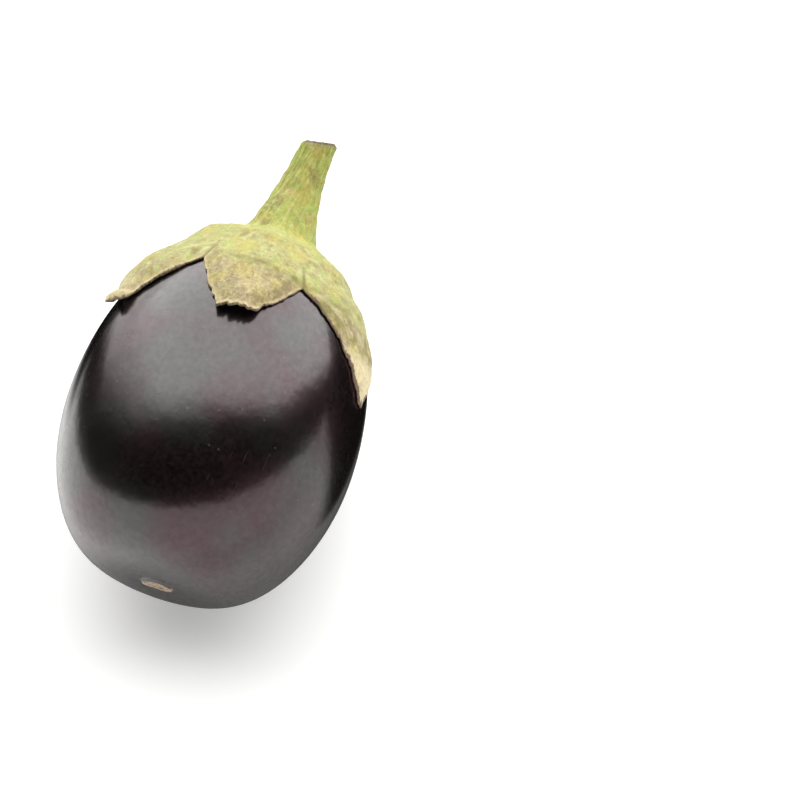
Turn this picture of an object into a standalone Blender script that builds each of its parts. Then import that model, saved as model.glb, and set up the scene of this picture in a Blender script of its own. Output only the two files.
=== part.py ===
"""A baby eggplant lying on its side: a glossy oval fruit under a leafy cap that carries its cut stem.

Both pieces are modelled round the fruit's own axis. Local +X runs along it from the blossom end to
the stem end, local +Z is up, and the local origin is on the axis where the fruit is widest. The pair
is then turned so that the stem end is raised, and set down on the small flat spot that it rests on.
The world origin is on the floor, under the middle of the eggplant's box. Metres, +Z up.
"""

import math
from typing import NamedTuple

import bmesh
import bpy
import numpy as np
from mathutils import Matrix, Vector

MM = 0.001

# Fruit, along its axis and across it
BLOSSOM_REACH = 31.5 * MM
STEM_REACH = 35.9 * MM
FRUIT_RADIUS = 27.7 * MM
END_BLUNTNESS = 4.35
SIDE_FALL = 1.53
OVAL_SHARE = 0.008
OVAL_AZIMUTH = math.radians(75.0)
FLUTE_SHARE = 0.004
FLUTE_COUNT = 5

# Blossom end: a shallow dimple with the corky scar of the flower standing in it
DIMPLE_DEPTH = 0.7 * MM
DIMPLE_RADIUS = 6.5 * MM
SCAR_RADIUS = 3.1 * MM
SCAR_HEIGHT = 0.45 * MM
SCAR_SLOPE = 0.5 * MM

# How it lies
STEM_RAISED = math.radians(8.0)
FLAT_DEPTH = 1.1 * MM

# Cap: a fleshy cup round the stem, parted into sepals that lie on the skin
CAP_GAP = 0.35 * MM
CUP_REACH = 12.0 * MM
CUP_FLESH = 1.6 * MM
CUP_FADE = 5.6 * MM
CUP_FLESH_TILT = 0.5 * MM
CUP_FLESH_AZIMUTH = math.radians(-98.0)
SINUS_REACH = 26.2 * MM
SINUS_TILT = 1.0 * MM
SINUS_AZIMUTH = math.radians(-50.0)
SHEET_THICKNESS = 1.25 * MM
MARGIN_THICKNESS = 0.8 * MM
RIB_HEIGHT = 0.3 * MM
RAGGED = 0.3 * MM
CURL_SHARE = 0.72
LIFT_NARROWING = 1.5
SEAM_WIDTH = 2.5
BULK_FROM = 16.0 * MM
BULK_FADE = 2.6 * MM
KNOB_LENGTH = 3.2 * MM

# Stem: tapered, bent a little upwards, cut a little off square
STEM_BASE = 41.6 * MM
STEM_LENGTH = 20.6 * MM
STEM_BASE_RADIUS = 6.8 * MM
STEM_CUT_RADIUS = 3.3 * MM
STEM_TAPER = 1.85
STEM_BEND = math.radians(15.0)
STEM_BEND_AZIMUTH = math.radians(29.5)
STEM_RIB_SHARE = 0.06
CUT_SLANT = 0.31
CUT_SLANT_AZIMUTH = math.radians(163.0)
CUT_SINK = 0.3 * MM
CUT_BEVEL = 0.3 * MM

# Mesh fineness
FRUIT_COLUMNS = 56
FRUIT_RING_STEP = 2.9 * MM
SCAR_RING_STEP = 0.75 * MM
COLUMNS_PER_SEPAL = 18
STEM_RINGS = 7
FLARE_RINGS = 5
OUTER_RINGS = 9
INNER_RINGS = 6

SKIN_COLOUR = "#1F1318"
SKIN_ROUGHNESS = 0.25
CAP_COLOUR = "#C6C283"
CAP_ROUGHNESS = 0.65


class Sepal(NamedTuple):
    """One lobe of the cap. Angles are degrees round the axis from the top line, towards -Y."""

    start: float
    tip: float
    end: float
    reach: float
    fullness: float
    blunt: float
    lift: float
    curl: float
    bulk: float
    knob: float


# The top sepal has lost its tip; its left-hand neighbour is thin and curls away in a small knob
SEPALS = (
    Sepal(-22.5, 3.5, 29.5, 37.0 * MM, 1.0, 0.24, 2.3 * MM, 0.5 * MM, 1.0, 0.0),
    Sepal(29.5, 74.5, 106.0, 42.0 * MM, 1.5, 0.0, 0.1 * MM, 0.0, 0.6, 0.0),
    Sepal(106.0, 143.0, 180.0, 40.5 * MM, 1.05, 0.0, 0.7 * MM, 0.3 * MM, 1.0, 0.0),
    Sepal(180.0, 219.0, 262.0, 39.0 * MM, 0.9, 0.12, 0.6 * MM, 0.0, 1.0, 0.0),
    Sepal(262.0, 305.0, 337.5, 37.7 * MM, 1.1, 0.0, 0.1 * MM, 2.3 * MM, 0.72, 0.8 * MM),
)


def outline_of_half(reach, steps=1500):
    """Places along the axis and radii from one end of the fruit to its widest station."""
    from_end = np.linspace(0.0, 1.0, steps)
    share = 1.0 - from_end**END_BLUNTNESS
    inside = 1.0 - SIDE_FALL * share**2 + (SIDE_FALL - 1.0) * share**4
    return reach * share, FRUIT_RADIUS * np.clip(inside, 0.0, None) ** (1.0 / END_BLUNTNESS)


def fruit_outline():
    """The fruit's outline: arc length from the stem end, place along the axis and radius."""
    stem_x, stem_r = outline_of_half(STEM_REACH)
    blossom_x, blossom_r = outline_of_half(BLOSSOM_REACH)
    x = np.concatenate([stem_x, -blossom_x[::-1][1:]])
    r = np.concatenate([stem_r, blossom_r[::-1][1:]])
    steps = np.hypot(np.diff(x), np.diff(r))
    return np.concatenate([[0.0], np.cumsum(steps)]), x, r


OUTLINE_ARC, OUTLINE_X, OUTLINE_R = fruit_outline()
OUTLINE_LENGTH = OUTLINE_ARC[-1]


def around(azimuth):
    """The direction that points away from the axis at an azimuth counted from the top line."""
    return Vector((0.0, -math.sin(azimuth), math.cos(azimuth)))


def smooth_step(value):
    """0 below 0, 1 above 1, and a smooth rise between them."""
    value = min(1.0, max(0.0, value))
    return value * value * (3.0 - 2.0 * value)


def outline_at(arc):
    """Place along the axis and radius of the fruit's outline at an arc length."""
    return float(np.interp(arc, OUTLINE_ARC, OUTLINE_X)), float(np.interp(arc, OUTLINE_ARC, OUTLINE_R))


def outline_normal(arc, azimuth, step=0.4 * MM):
    """The outward normal of the plain fruit, read from its outline."""
    before = outline_at(max(0.0, arc - step))
    after = outline_at(min(OUTLINE_LENGTH, arc + step))
    along_x, along_r = after[0] - before[0], after[1] - before[1]
    length = math.hypot(along_x, along_r)
    if arc < step:
        return Vector((1.0, 0.0, 0.0))
    return Vector((along_r / length, 0.0, 0.0)) - around(azimuth) * (along_x / length)


def blossom_relief(arc):
    """How far the blossom end stands out past the plain outline: a dimple with the scar in it."""
    from_end = OUTLINE_LENGTH - arc
    dimple = -DIMPLE_DEPTH * (1.0 - smooth_step(from_end / DIMPLE_RADIUS))
    return dimple + SCAR_HEIGHT * smooth_step((SCAR_RADIUS - from_end) / SCAR_SLOPE + 0.5)


def skin_point(arc, azimuth):
    """A point of the fruit's skin, with the slight oval and flutes that make it no true round."""
    x, r = outline_at(arc)
    belly = (r / FRUIT_RADIUS) ** 2
    oval = OVAL_SHARE * math.cos(2.0 * (azimuth - OVAL_AZIMUTH))
    flutes = FLUTE_SHARE * math.cos(FLUTE_COUNT * azimuth)
    r *= 1.0 + belly * (oval + flutes)
    return Vector((x - blossom_relief(arc), 0.0, 0.0)) + around(azimuth) * r


def sepal_at(azimuth):
    """The sepal at an azimuth, and how far off its midline that is: 0 on it, 1 at the sinus."""
    degrees = math.degrees(azimuth)
    first = SEPALS[0].start
    degrees = first + (degrees - first) % 360.0
    for sepal in SEPALS:
        if degrees <= sepal.end:
            break
    side = sepal.tip - sepal.start if degrees < sepal.tip else sepal.end - sepal.tip
    return sepal, min(1.0, abs(degrees - sepal.tip) / side)


def ridge(azimuth):
    """1 on a sepal's midline, -1 at a sinus."""
    return math.cos(math.pi * sepal_at(azimuth)[1])


def sinus_reach(azimuth):
    """Arc length from the stem end to the notches between the sepals, less on the one side."""
    return SINUS_REACH - SINUS_TILT * math.cos(azimuth - SINUS_AZIMUTH)


def margin_reach(azimuth):
    """Arc length from the stem end to the cap's margin."""
    sepal, off = sepal_at(azimuth)
    share = min(1.0, (1.0 - off) / (1.0 - sepal.blunt)) ** sepal.fullness
    ragged = RAGGED * share * math.sin(23.0 * azimuth + 1.1) * math.sin(9.0 * azimuth)
    sinus = sinus_reach(azimuth)
    return sinus + (sepal.reach - sinus) * share + ragged


def sepal_bulk(azimuth):
    """Share of the sheet's thickness that each sepal has, eased from one sepal to the next."""
    first = SEPALS[0].start
    degrees = first + (math.degrees(azimuth) - first) % 360.0
    bulk = before = SEPALS[-1].bulk
    for sepal in SEPALS:
        bulk += (sepal.bulk - before) * smooth_step((degrees - sepal.start) / SEAM_WIDTH)
        before = sepal.bulk
    return bulk


def sheet_thickness(arc, azimuth):
    """Thickness of the cap: fleshy round the stem, thin at the margin, with a rib on each sepal."""
    flesh = CUP_FLESH + CUP_FLESH_TILT * math.cos(azimuth - CUP_FLESH_AZIMUTH)
    flesh *= 1.0 - smooth_step((arc - CUP_REACH) / CUP_FADE)
    to_margin = smooth_step((margin_reach(azimuth) - arc) / (4.0 * MM))
    middle = SHEET_THICKNESS - MARGIN_THICKNESS + RIB_HEIGHT * ridge(azimuth)
    thinned = 1.0 + (sepal_bulk(azimuth) - 1.0) * smooth_step((arc - BULK_FROM) / BULK_FADE)
    sepal = sepal_at(azimuth)[0]
    knob = sepal.knob * smooth_step(2.0 * (arc - sepal.reach + KNOB_LENGTH) / KNOB_LENGTH)
    return (MARGIN_THICKNESS + middle * to_margin) * thinned + knob + flesh


def sheet_lift(arc, azimuth):
    """How far the cap's underside stands off the skin: sepals lift, and some curl, towards the tip."""
    sepal, off = sepal_at(azimuth)
    sinus = sinus_reach(azimuth)
    share = max(0.0, (arc - sinus) / (sepal.reach - sinus))
    curled = max(0.0, (share - CURL_SHARE) / (1.0 - CURL_SHARE))
    midline = 1.0 - smooth_step(LIFT_NARROWING * off)
    return CAP_GAP + sepal.lift * share**2 * midline + sepal.curl * curled**2


def sheet_middle(arc, azimuth):
    """A point halfway through the cap's thickness."""
    off = sheet_lift(arc, azimuth) + sheet_thickness(arc, azimuth) / 2.0
    return skin_point(arc, azimuth) + outline_normal(arc, azimuth) * off


def sheet_normal(arc, azimuth, step=0.2 * MM):
    """The outward normal of the cap, square to its lifted and curled sheet."""
    along = sheet_middle(arc + step, azimuth) - sheet_middle(arc - step, azimuth)
    turn = 0.004
    across = sheet_middle(arc, azimuth + turn) - sheet_middle(arc, azimuth - turn)
    across -= outline_normal(arc, azimuth) * across.dot(outline_normal(arc, azimuth))
    return across.cross(along).normalized() * -1.0


def stem_frame(share):
    """Centre and direction of the stem at a share of its length, bent in one smooth arc."""
    angle = STEM_BEND * share
    arc_radius = STEM_LENGTH / STEM_BEND
    forward = Vector((1.0, 0.0, 0.0))
    sideways = around(STEM_BEND_AZIMUTH)
    centre = Vector((STEM_BASE, 0.0, 0.0))
    centre += forward * (arc_radius * math.sin(angle)) + sideways * (arc_radius * (1.0 - math.cos(angle)))
    return centre, forward * math.cos(angle) + sideways * math.sin(angle)


def stem_point(share, azimuth, radius_share=1.0):
    """A point on the stem, or inside it where radius_share is under 1."""
    centre, direction = stem_frame(share)
    turned = Vector((1.0, 0.0, 0.0)).rotation_difference(direction)
    radius = STEM_CUT_RADIUS + (STEM_BASE_RADIUS - STEM_CUT_RADIUS) * (1.0 - share) ** STEM_TAPER
    radius *= (1.0 + STEM_RIB_SHARE * ridge(azimuth) * (1.0 - 0.6 * share)) * radius_share
    slant = radius * CUT_SLANT * share**4 * math.cos(azimuth - CUT_SLANT_AZIMUTH)
    return centre + turned @ around(azimuth) * radius + direction * slant


def hermite(start, start_pull, end, end_pull, share):
    """A point on the smooth curve from start to end that leaves and arrives along the two pulls."""
    a, b = share * share, share * share * share
    return (
        start * (2 * b - 3 * a + 1)
        + start_pull * (b - 2 * a + share)
        + end * (3 * a - 2 * b)
        + end_pull * (b - a)
    )


def cap_outer(arc, azimuth):
    """A point on the cap's upper face."""
    half = sheet_thickness(arc, azimuth) / 2.0
    return sheet_middle(arc, azimuth) + sheet_normal(arc, azimuth) * half


def cap_inner(arc, azimuth):
    """A point on the cap's underside."""
    half = sheet_thickness(arc, azimuth) / 2.0
    return sheet_middle(arc, azimuth) - sheet_normal(arc, azimuth) * half


def cut_column(azimuth):
    """The stem's cut face, from its sunk middle to its bevelled rim."""
    direction = stem_frame(1.0)[1]
    sunk = direction * -CUT_SINK
    rim_share = 1.0 - CUT_BEVEL / STEM_CUT_RADIUS
    back = 1.0 - CUT_BEVEL / STEM_LENGTH
    return [
        stem_point(1.0, azimuth, 0.0) + sunk,
        stem_point(1.0, azimuth, 0.55) + sunk * 0.8,
        stem_point(1.0, azimuth, rim_share),
        stem_point(back, azimuth),
    ]


def cap_column(azimuth):
    """Points of the cap at one azimuth: down the stem, out to the margin and back underneath."""
    reach = margin_reach(azimuth)
    points = cut_column(azimuth)
    shares = np.linspace(1.0, 0.0, STEM_RINGS + 1)[1:]
    points += [stem_point(float(share), azimuth) for share in shares]

    base, sheet = stem_point(0.0, azimuth), cap_outer(CUP_REACH, azimuth)
    outward = (cap_outer(CUP_REACH + MM, azimuth) - sheet).normalized()
    span = (sheet - base).length
    down = (base - stem_point(0.1, azimuth)).normalized()
    shares = np.linspace(0.0, 1.0, FLARE_RINGS + 2)[1:-1]
    points += [hermite(base, down * span, sheet, outward * span, float(share)) for share in shares]

    arcs = np.linspace(CUP_REACH, reach, OUTER_RINGS)
    points += [cap_outer(float(arc), azimuth) for arc in arcs]
    overhang = (sheet_middle(reach, azimuth) - sheet_middle(reach - 0.3 * MM, azimuth)).normalized()
    points.append(sheet_middle(reach, azimuth) + overhang * (MARGIN_THICKNESS * 0.4))
    arcs = np.linspace(reach, CUP_REACH, INNER_RINGS)
    points += [cap_inner(float(arc), azimuth) for arc in arcs]
    for arc in (CUP_REACH * 0.5, 0.0):
        points.append(skin_point(arc, azimuth) + outline_normal(arc, azimuth) * CAP_GAP)
    return points


def sepal_azimuths():
    """Azimuths of the cap's columns: equal steps from each sinus to the tip and on to the next."""
    half = COLUMNS_PER_SEPAL // 2
    degrees = []
    for sepal in SEPALS:
        degrees += list(np.linspace(sepal.start, sepal.tip, half, endpoint=False))
        degrees += list(np.linspace(sepal.tip, sepal.end, half, endpoint=False))
    return [math.radians(value) for value in degrees]


def fruit_arcs():
    """Arc lengths of the fruit's rings, close together at the blossom scar."""
    body = OUTLINE_LENGTH - DIMPLE_RADIUS
    coarse = np.linspace(0.0, body, round(body / FRUIT_RING_STEP) + 1)
    fine = np.linspace(body, OUTLINE_LENGTH, round(DIMPLE_RADIUS / SCAR_RING_STEP) + 1)
    return [float(arc) for arc in (*coarse, *fine[1:])]


def colour_of(code):
    """A colour code's red, green, blue and alpha, as the renderer wants them."""
    shares = [int(code[i : i + 2], 16) / 255.0 for i in (1, 3, 5)]
    return [s / 12.92 if s <= 0.04045 else ((s + 0.055) / 1.055) ** 2.4 for s in shares] + [1.0]


def material_of(name, code, roughness):
    """A plain Principled material."""
    material = bpy.data.materials.new(name)
    material.use_nodes = True
    shader = material.node_tree.nodes["Principled BSDF"]
    shader.inputs["Base Color"].default_value = colour_of(code)
    shader.inputs["Roughness"].default_value = roughness
    shader.inputs["Metallic"].default_value = 0.0
    return material


def wrapped_sphere(name, columns, collection):
    """A sphere whose rings and columns are laid onto the given columns of points, from pole to pole."""
    last_ring = len(columns[0]) - 1
    mesh = bmesh.new()
    bmesh.ops.create_uvsphere(mesh, u_segments=len(columns), v_segments=last_ring, radius=1.0)
    for vertex in mesh.verts:
        ring = round(math.acos(max(-1.0, min(1.0, vertex.co.z))) / math.pi * last_ring)
        turn = math.atan2(vertex.co.y, vertex.co.x) / math.tau
        column = 0 if ring in (0, last_ring) else round(turn * len(columns)) % len(columns)
        vertex.co = columns[column][ring]
    data = bpy.data.meshes.new(name)
    mesh.to_mesh(data)
    mesh.free()
    data.shade_smooth()
    data.set_sharp_from_angle(angle=math.radians(45.0))
    made = bpy.data.objects.new(name, data)
    collection.objects.link(made)
    return made


def build_fruit(collection):
    """The fruit, whole under its cap."""
    arcs = fruit_arcs()
    azimuths = [math.tau * i / FRUIT_COLUMNS for i in range(FRUIT_COLUMNS)]
    fruit = wrapped_sphere("fruit", [[skin_point(arc, a) for arc in arcs] for a in azimuths], collection)
    fruit.data.materials.append(material_of("waxy_skin", SKIN_COLOUR, SKIN_ROUGHNESS))
    return fruit


def build_cap(collection):
    """The cap of sepals with the stem, one green piece."""
    columns = [cap_column(azimuth) for azimuth in sepal_azimuths()]
    cap = wrapped_sphere("calyx_and_stem", columns, collection)
    cap.data.materials.append(material_of("green_calyx", CAP_COLOUR, CAP_ROUGHNESS))
    return cap


def lay_down(pieces, collection):
    """Turns the pieces to their resting angle, with the lowest skin just under the floor."""
    turned = Matrix.Rotation(-STEM_RAISED, 4, "Y")
    points = [turned @ vertex.co for piece in pieces for vertex in piece.data.vertices]
    low = [min(point[axis] for point in points) for axis in range(3)]
    high = [max(point[axis] for point in points) for axis in range(3)]
    holder = bpy.data.objects.new("baby_eggplant", None)
    collection.objects.link(holder)
    holder.rotation_euler = (0.0, -STEM_RAISED, 0.0)
    holder.location = (-(low[0] + high[0]) / 2.0, -(low[1] + high[1]) / 2.0, -low[2] - FLAT_DEPTH)
    for piece in pieces:
        piece.parent = holder


def flatten_foot(fruit, cutters):
    """Cuts the small flat spot that the fruit rests on, level with the floor."""
    block = bmesh.new()
    side = 4.0 * FRUIT_RADIUS
    bmesh.ops.create_cube(block, size=side, matrix=Matrix.Translation((0.0, 0.0, -side / 2.0)))
    data = bpy.data.meshes.new("floor_cutter")
    block.to_mesh(data)
    block.free()
    cutter = bpy.data.objects.new("floor_cutter", data)
    cutters.objects.link(cutter)
    cutter.hide_render = True
    cutter.display_type = "WIRE"
    cut = fruit.modifiers.new("resting_spot", "BOOLEAN")
    cut.operation = "DIFFERENCE"
    cut.object = cutter


def main():
    """Clears the scene and builds the eggplant."""
    for obj in list(bpy.data.objects):
        bpy.data.objects.remove(obj)
    parts = bpy.data.collections.new("baby_eggplant")
    cutters = bpy.data.collections.new("cutters")
    for collection in (parts, cutters):
        bpy.context.scene.collection.children.link(collection)
    fruit = build_fruit(parts)
    cap = build_cap(parts)
    lay_down((fruit, cap), parts)
    flatten_foot(fruit, cutters)


main()
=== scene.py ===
"""A baby eggplant lying on its side on a pale table: glossy dark fruit, leafy green cap and cut stem.

Both pieces are shaped round the fruit's own axis. Local +X runs along it from the blossom end to the
stem end, local +Z is up, and the local origin is on the axis where the fruit is widest. The frame's
box of the fruit says where that axis lies. Metres, +Z up. Azimuths are counted round the axis from
the top line towards -Y.
"""

from __future__ import annotations

import logging
import math
from collections.abc import Iterable
from dataclasses import dataclass
from enum import Enum
from functools import cached_property
from typing import Any

import bpy
import numpy as np
from mathutils import Matrix, Vector, noise

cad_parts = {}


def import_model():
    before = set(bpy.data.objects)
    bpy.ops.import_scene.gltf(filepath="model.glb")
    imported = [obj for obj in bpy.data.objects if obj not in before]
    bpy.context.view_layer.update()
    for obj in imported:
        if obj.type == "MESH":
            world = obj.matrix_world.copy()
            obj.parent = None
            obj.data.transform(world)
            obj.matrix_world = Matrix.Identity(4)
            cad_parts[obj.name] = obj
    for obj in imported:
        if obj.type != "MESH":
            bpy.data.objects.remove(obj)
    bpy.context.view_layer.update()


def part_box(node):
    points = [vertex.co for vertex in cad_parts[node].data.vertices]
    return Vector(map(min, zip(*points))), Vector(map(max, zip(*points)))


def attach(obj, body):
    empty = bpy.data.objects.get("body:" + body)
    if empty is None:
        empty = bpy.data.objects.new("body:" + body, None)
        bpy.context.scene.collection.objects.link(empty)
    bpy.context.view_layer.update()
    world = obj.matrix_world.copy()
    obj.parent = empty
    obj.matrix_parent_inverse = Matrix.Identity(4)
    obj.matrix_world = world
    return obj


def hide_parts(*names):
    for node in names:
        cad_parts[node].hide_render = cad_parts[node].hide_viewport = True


LOG = logging.getLogger("baby_eggplant")

MM = 0.001
IMAGE_SIDE_PX = 800
SENSOR_WIDTH_MM = 36.0
BODY = "root"
FAR_MM = 40.0
BOX_SAMPLES = (400, 361)
SEED_SHIFT = (17.3, -9.1, 5.7)
WHITE = (1.0, 1.0, 1.0, 1.0)
Z_AXIS = Vector((0.0, 0.0, 1.0))
RANGES = {"RANGE": "LINEAR", "EASED": "SMOOTHSTEP"}

Array = np.ndarray


class Layer(str, Enum):
    """Names of the values stored on the meshes, which the finishes read."""

    GRAIN = "grain_mm"
    TO_MARGIN = "to_margin_mm"
    UP_STEM = "up_stem"
    CUT_RADIUS = "cut_radius"
    UNDERSIDE = "underside"
    STAIN = "stain"
    PALENESS = "paleness"
    DRYNESS = "dryness"
    # Painted shade in the calyx's creases and folds, together with the real bruise stain.
    CREASE = "crease"
    FROM_BLOSSOM = "from_blossom_mm"
    FROM_CAP = "from_cap_mm"


class Slot(str, Enum):
    """Names of the skin's and the calyx's material slots."""

    SKIN = "skin"
    CALYX = "calyx"


def colour_of(code: str) -> tuple[float, float, float, float]:
    """Turns an sRGB hex colour to the linear values that the renderer wants.

    Args:
        code: The colour as #RRGGBB.

    Returns:
        Linear red, green and blue, with alpha 1.
    """
    shares = [int(code[i : i + 2], 16) / 255.0 for i in (1, 3, 5)]
    red, green, blue = (s / 12.92 if s <= 0.04045 else ((s + 0.055) / 1.055) ** 2.4 for s in shares)
    return red, green, blue, 1.0


def add_node(
    tree: bpy.types.NodeTree,
    kind: str,
    links: dict[str | int, Any] | None = None,
    **settings: Any,
) -> bpy.types.Node:
    """Adds one node to a tree, with its settings and its inputs.

    Args:
        tree: The shader or geometry tree.
        kind: The node's type.
        links: For each input's name or number, a socket to link or a value to set.
        settings: Properties of the node itself. For a colour ramp, stops gives its places and colours.

    Returns:
        The new node.
    """
    node = tree.nodes.new(kind)
    stops = settings.pop("stops", ())
    for name, value in settings.items():
        setattr(node, name, value)
    for place, _ in stops[2:]:
        node.color_ramp.elements.new(place)
    for element, (place, code) in zip(node.color_ramp.elements if stops else (), stops):
        element.position = place
        element.color = colour_of(code)
    for key, value in (links or {}).items():
        socket = node.inputs[key]
        if isinstance(value, bpy.types.NodeSocket):
            tree.links.new(value, socket)
        else:
            socket.default_value = value
    return node


def add_steps(tree: bpy.types.NodeTree, known: dict[str, Any], steps: Iterable[tuple[Any, ...]]) -> None:
    """Adds nodes that work numbers out step by step.

    Args:
        tree: The shader or geometry tree.
        known: Sockets and numbers by name, to which each step's result is added.
        steps: For each step the result's name, an operation and its terms, which are known names or
            numbers. The operation is a Math node's, or RANGE or EASED for a Map Range node, straight
            or smooth, with the terms value, from min, from max, to min and to max.
    """
    for name, operation, *terms in steps:
        links = {place: known.get(term, term) for place, term in enumerate(terms)}
        if operation in RANGES:
            made = add_node(tree, "ShaderNodeMapRange", links, interpolation_type=RANGES[operation])
        else:
            made = add_node(tree, "ShaderNodeMath", links, operation=operation)
        known[name] = made.outputs[0]


def blank_material(name: str) -> bpy.types.Material:
    """Adds a material with an empty tree.

    Args:
        name: The material's name.

    Returns:
        The material.
    """
    material = bpy.data.materials.new(name)
    material.use_nodes = True
    material.node_tree.nodes.clear()
    return material


def read_surface(
    tree: bpy.types.NodeTree, layers: Iterable[Layer], stretch: tuple[float, ...]
) -> dict[str, Any]:
    """Adds the nodes that read where a point of a piece is and what is stored there.

    Args:
        tree: The material's tree.
        layers: The stored numbers to read.
        stretch: The grain's scale, twice across it and then along it. A small one draws the noise out.

    Returns:
        Sockets by name: place in millimetres, grain stretched along the piece, and each layer.
    """
    metres = add_node(tree, "ShaderNodeTexCoord").outputs["Object"]
    place = add_node(tree, "ShaderNodeVectorMath", {0: metres, "Scale": 1.0 / MM}, operation="SCALE")
    along = add_node(tree, "ShaderNodeAttribute", attribute_name=Layer.GRAIN.value).outputs["Vector"]
    grain = add_node(tree, "ShaderNodeMapping", {"Vector": along, "Scale": stretch}).outputs[0]
    known = {"place": place.outputs[0], "grain": grain}
    for layer in layers:
        known[layer] = add_node(tree, "ShaderNodeAttribute", attribute_name=layer.value).outputs["Fac"]
    return known


def smooth_step(value: Array) -> Array:
    """0 below 0, 1 above 1, and a smooth rise between them."""
    value = np.clip(value, 0.0, 1.0)
    return value * value * (3.0 - 2.0 * value)


def unit(vectors: Array) -> Array:
    """Scales each row to length 1."""
    return vectors / np.maximum(np.linalg.norm(vectors, axis=-1, keepdims=True), 1e-12)


def along_axis(x: Array) -> Array:
    """Points on the fruit's axis."""
    return np.stack([x, np.zeros_like(x), np.zeros_like(x)], axis=-1)


def around(azimuth: Array) -> Array:
    """Directions that point away from the axis at azimuths from the top line."""
    return np.stack([np.zeros_like(azimuth), -np.sin(azimuth), np.cos(azimuth)], axis=-1)


def lumps(points: Array, size: float, seed: int, octaves: int = 2) -> Array:
    """Smooth noise between about -1 and 1 at each point.

    Args:
        points: Rows of places in metres.
        size: Distance over which the noise changes, in metres.
        seed: Which noise.
        octaves: Number of layers, each half the size of the last.

    Returns:
        One value for each point.
    """
    shift = Vector([seed * step for step in SEED_SHIFT])
    rows = (points.reshape(-1, 3) / size).tolist()
    values = [noise.fractal(Vector(row) + shift, 1.0, 2.0, octaves) for row in rows]
    return np.array(values).reshape(points.shape[:-1])


@dataclass(frozen=True)
class Bumps:
    """Random bumps over a surface: their height, the distance over which they change, and which ones."""

    height: float
    size: float
    seed: int
    octaves: int = 2

    def at(self, points: Array) -> Array:
        """Heights of the bumps at each point."""
        return self.height * lumps(points, self.size, self.seed, self.octaves)


@dataclass(frozen=True)
class FruitForm:
    """The fruit's outline round its axis, its slight unevenness and its blossom end.

    Arc lengths run over the outline from the stem end.
    """

    blossom_reach: float = 31.5 * MM
    stem_reach: float = 35.9 * MM
    radius: float = 27.7 * MM
    bluntness: float = 4.35
    side_fall: float = 1.53
    oval_share: float = 0.008
    oval_azimuth: float = math.radians(75.0)
    flute_share: float = 0.004
    flute_count: int = 5
    dimple_depth: float = 0.7 * MM
    dimple_radius: float = 6.5 * MM
    scar_radius: float = 3.1 * MM
    scar_height: float = 0.45 * MM
    scar_slope: float = 0.5 * MM
    stem_raised: float = math.radians(8.0)

    def half(self, reach: float, steps: int = 3000) -> tuple[Array, Array]:
        """Places along the axis and radii from one end to the widest station.

        Args:
            reach: How far that end is from the widest station.
            steps: Number of places.

        Returns:
            Places along the axis and radii.
        """
        share = 1.0 - np.linspace(0.0, 1.0, steps) ** self.bluntness
        inside = 1.0 - self.side_fall * share**2 + (self.side_fall - 1.0) * share**4
        return reach * share, self.radius * np.clip(inside, 0.0, None) ** (1.0 / self.bluntness)

    @cached_property
    def outline(self) -> tuple[Array, Array, Array]:
        """The outline's arc length from the stem end, place along the axis and radius.

        Returns:
            Three arrays.
        """
        stem_x, stem_r = self.half(self.stem_reach)
        blossom_x, blossom_r = self.half(self.blossom_reach)
        x = np.concatenate([stem_x, -blossom_x[::-1][1:]])
        r = np.concatenate([stem_r, blossom_r[::-1][1:]])
        steps = np.hypot(np.diff(x), np.diff(r))
        return np.concatenate([[0.0], np.cumsum(steps)]), x, r

    def at(self, arc: Array) -> tuple[Array, Array]:
        """Places along the axis and radii of the outline at arc lengths."""
        arcs, x, r = self.outline
        return np.interp(arc, arcs, x), np.interp(arc, arcs, r)

    def arc_at(self, x: Array) -> Array:
        """Arc lengths from the stem end at places along the axis."""
        arcs, places, _ = self.outline
        return np.interp(-x, -places, arcs)

    def normal(self, arc: Array, azimuth: Array, step: float = 0.4 * MM) -> Array:
        """Outward normals of the plain fruit at arc lengths and azimuths.

        Args:
            arc: Arc lengths from the stem end.
            azimuth: Angles round the axis.
            step: Arc length over which the slope is measured.

        Returns:
            Unit vectors.
        """
        before_x, before_r = self.at(np.maximum(0.0, arc - step))
        after_x, after_r = self.at(arc + step)
        along = unit(np.stack([after_x - before_x, after_r - before_r], axis=-1))
        along = np.where((arc < step)[..., None], np.array([0.0, 1.0]), along)
        return along_axis(along[..., 1]) - around(azimuth) * along[..., :1]

    def blossom_relief(self, arc: Array) -> Array:
        """How far the blossom end stands out past the plain outline: a dimple with the scar in it.

        Args:
            arc: Arc lengths from the stem end.

        Returns:
            Metres.
        """
        from_end = self.outline[0][-1] - arc
        dimple = -self.dimple_depth * (1.0 - smooth_step(from_end / self.dimple_radius))
        return dimple + self.scar_height * smooth_step((self.scar_radius - from_end) / self.scar_slope + 0.5)

    def point(self, arc: Array, azimuth: Array) -> Array:
        """Points of the skin at arc lengths and azimuths.

        Args:
            arc: Arc lengths from the stem end.
            azimuth: Angles round the axis.

        Returns:
            Places in the fruit's own axes.
        """
        x, r = self.at(arc)
        belly = (r / self.radius) ** 2
        oval = self.oval_share * np.cos(2.0 * (azimuth - self.oval_azimuth))
        flutes = self.flute_share * np.cos(self.flute_count * azimuth)
        r = r * (1.0 + belly * (oval + flutes))
        return along_axis(x - self.blossom_relief(arc)) + around(azimuth) * r[..., None]


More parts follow.
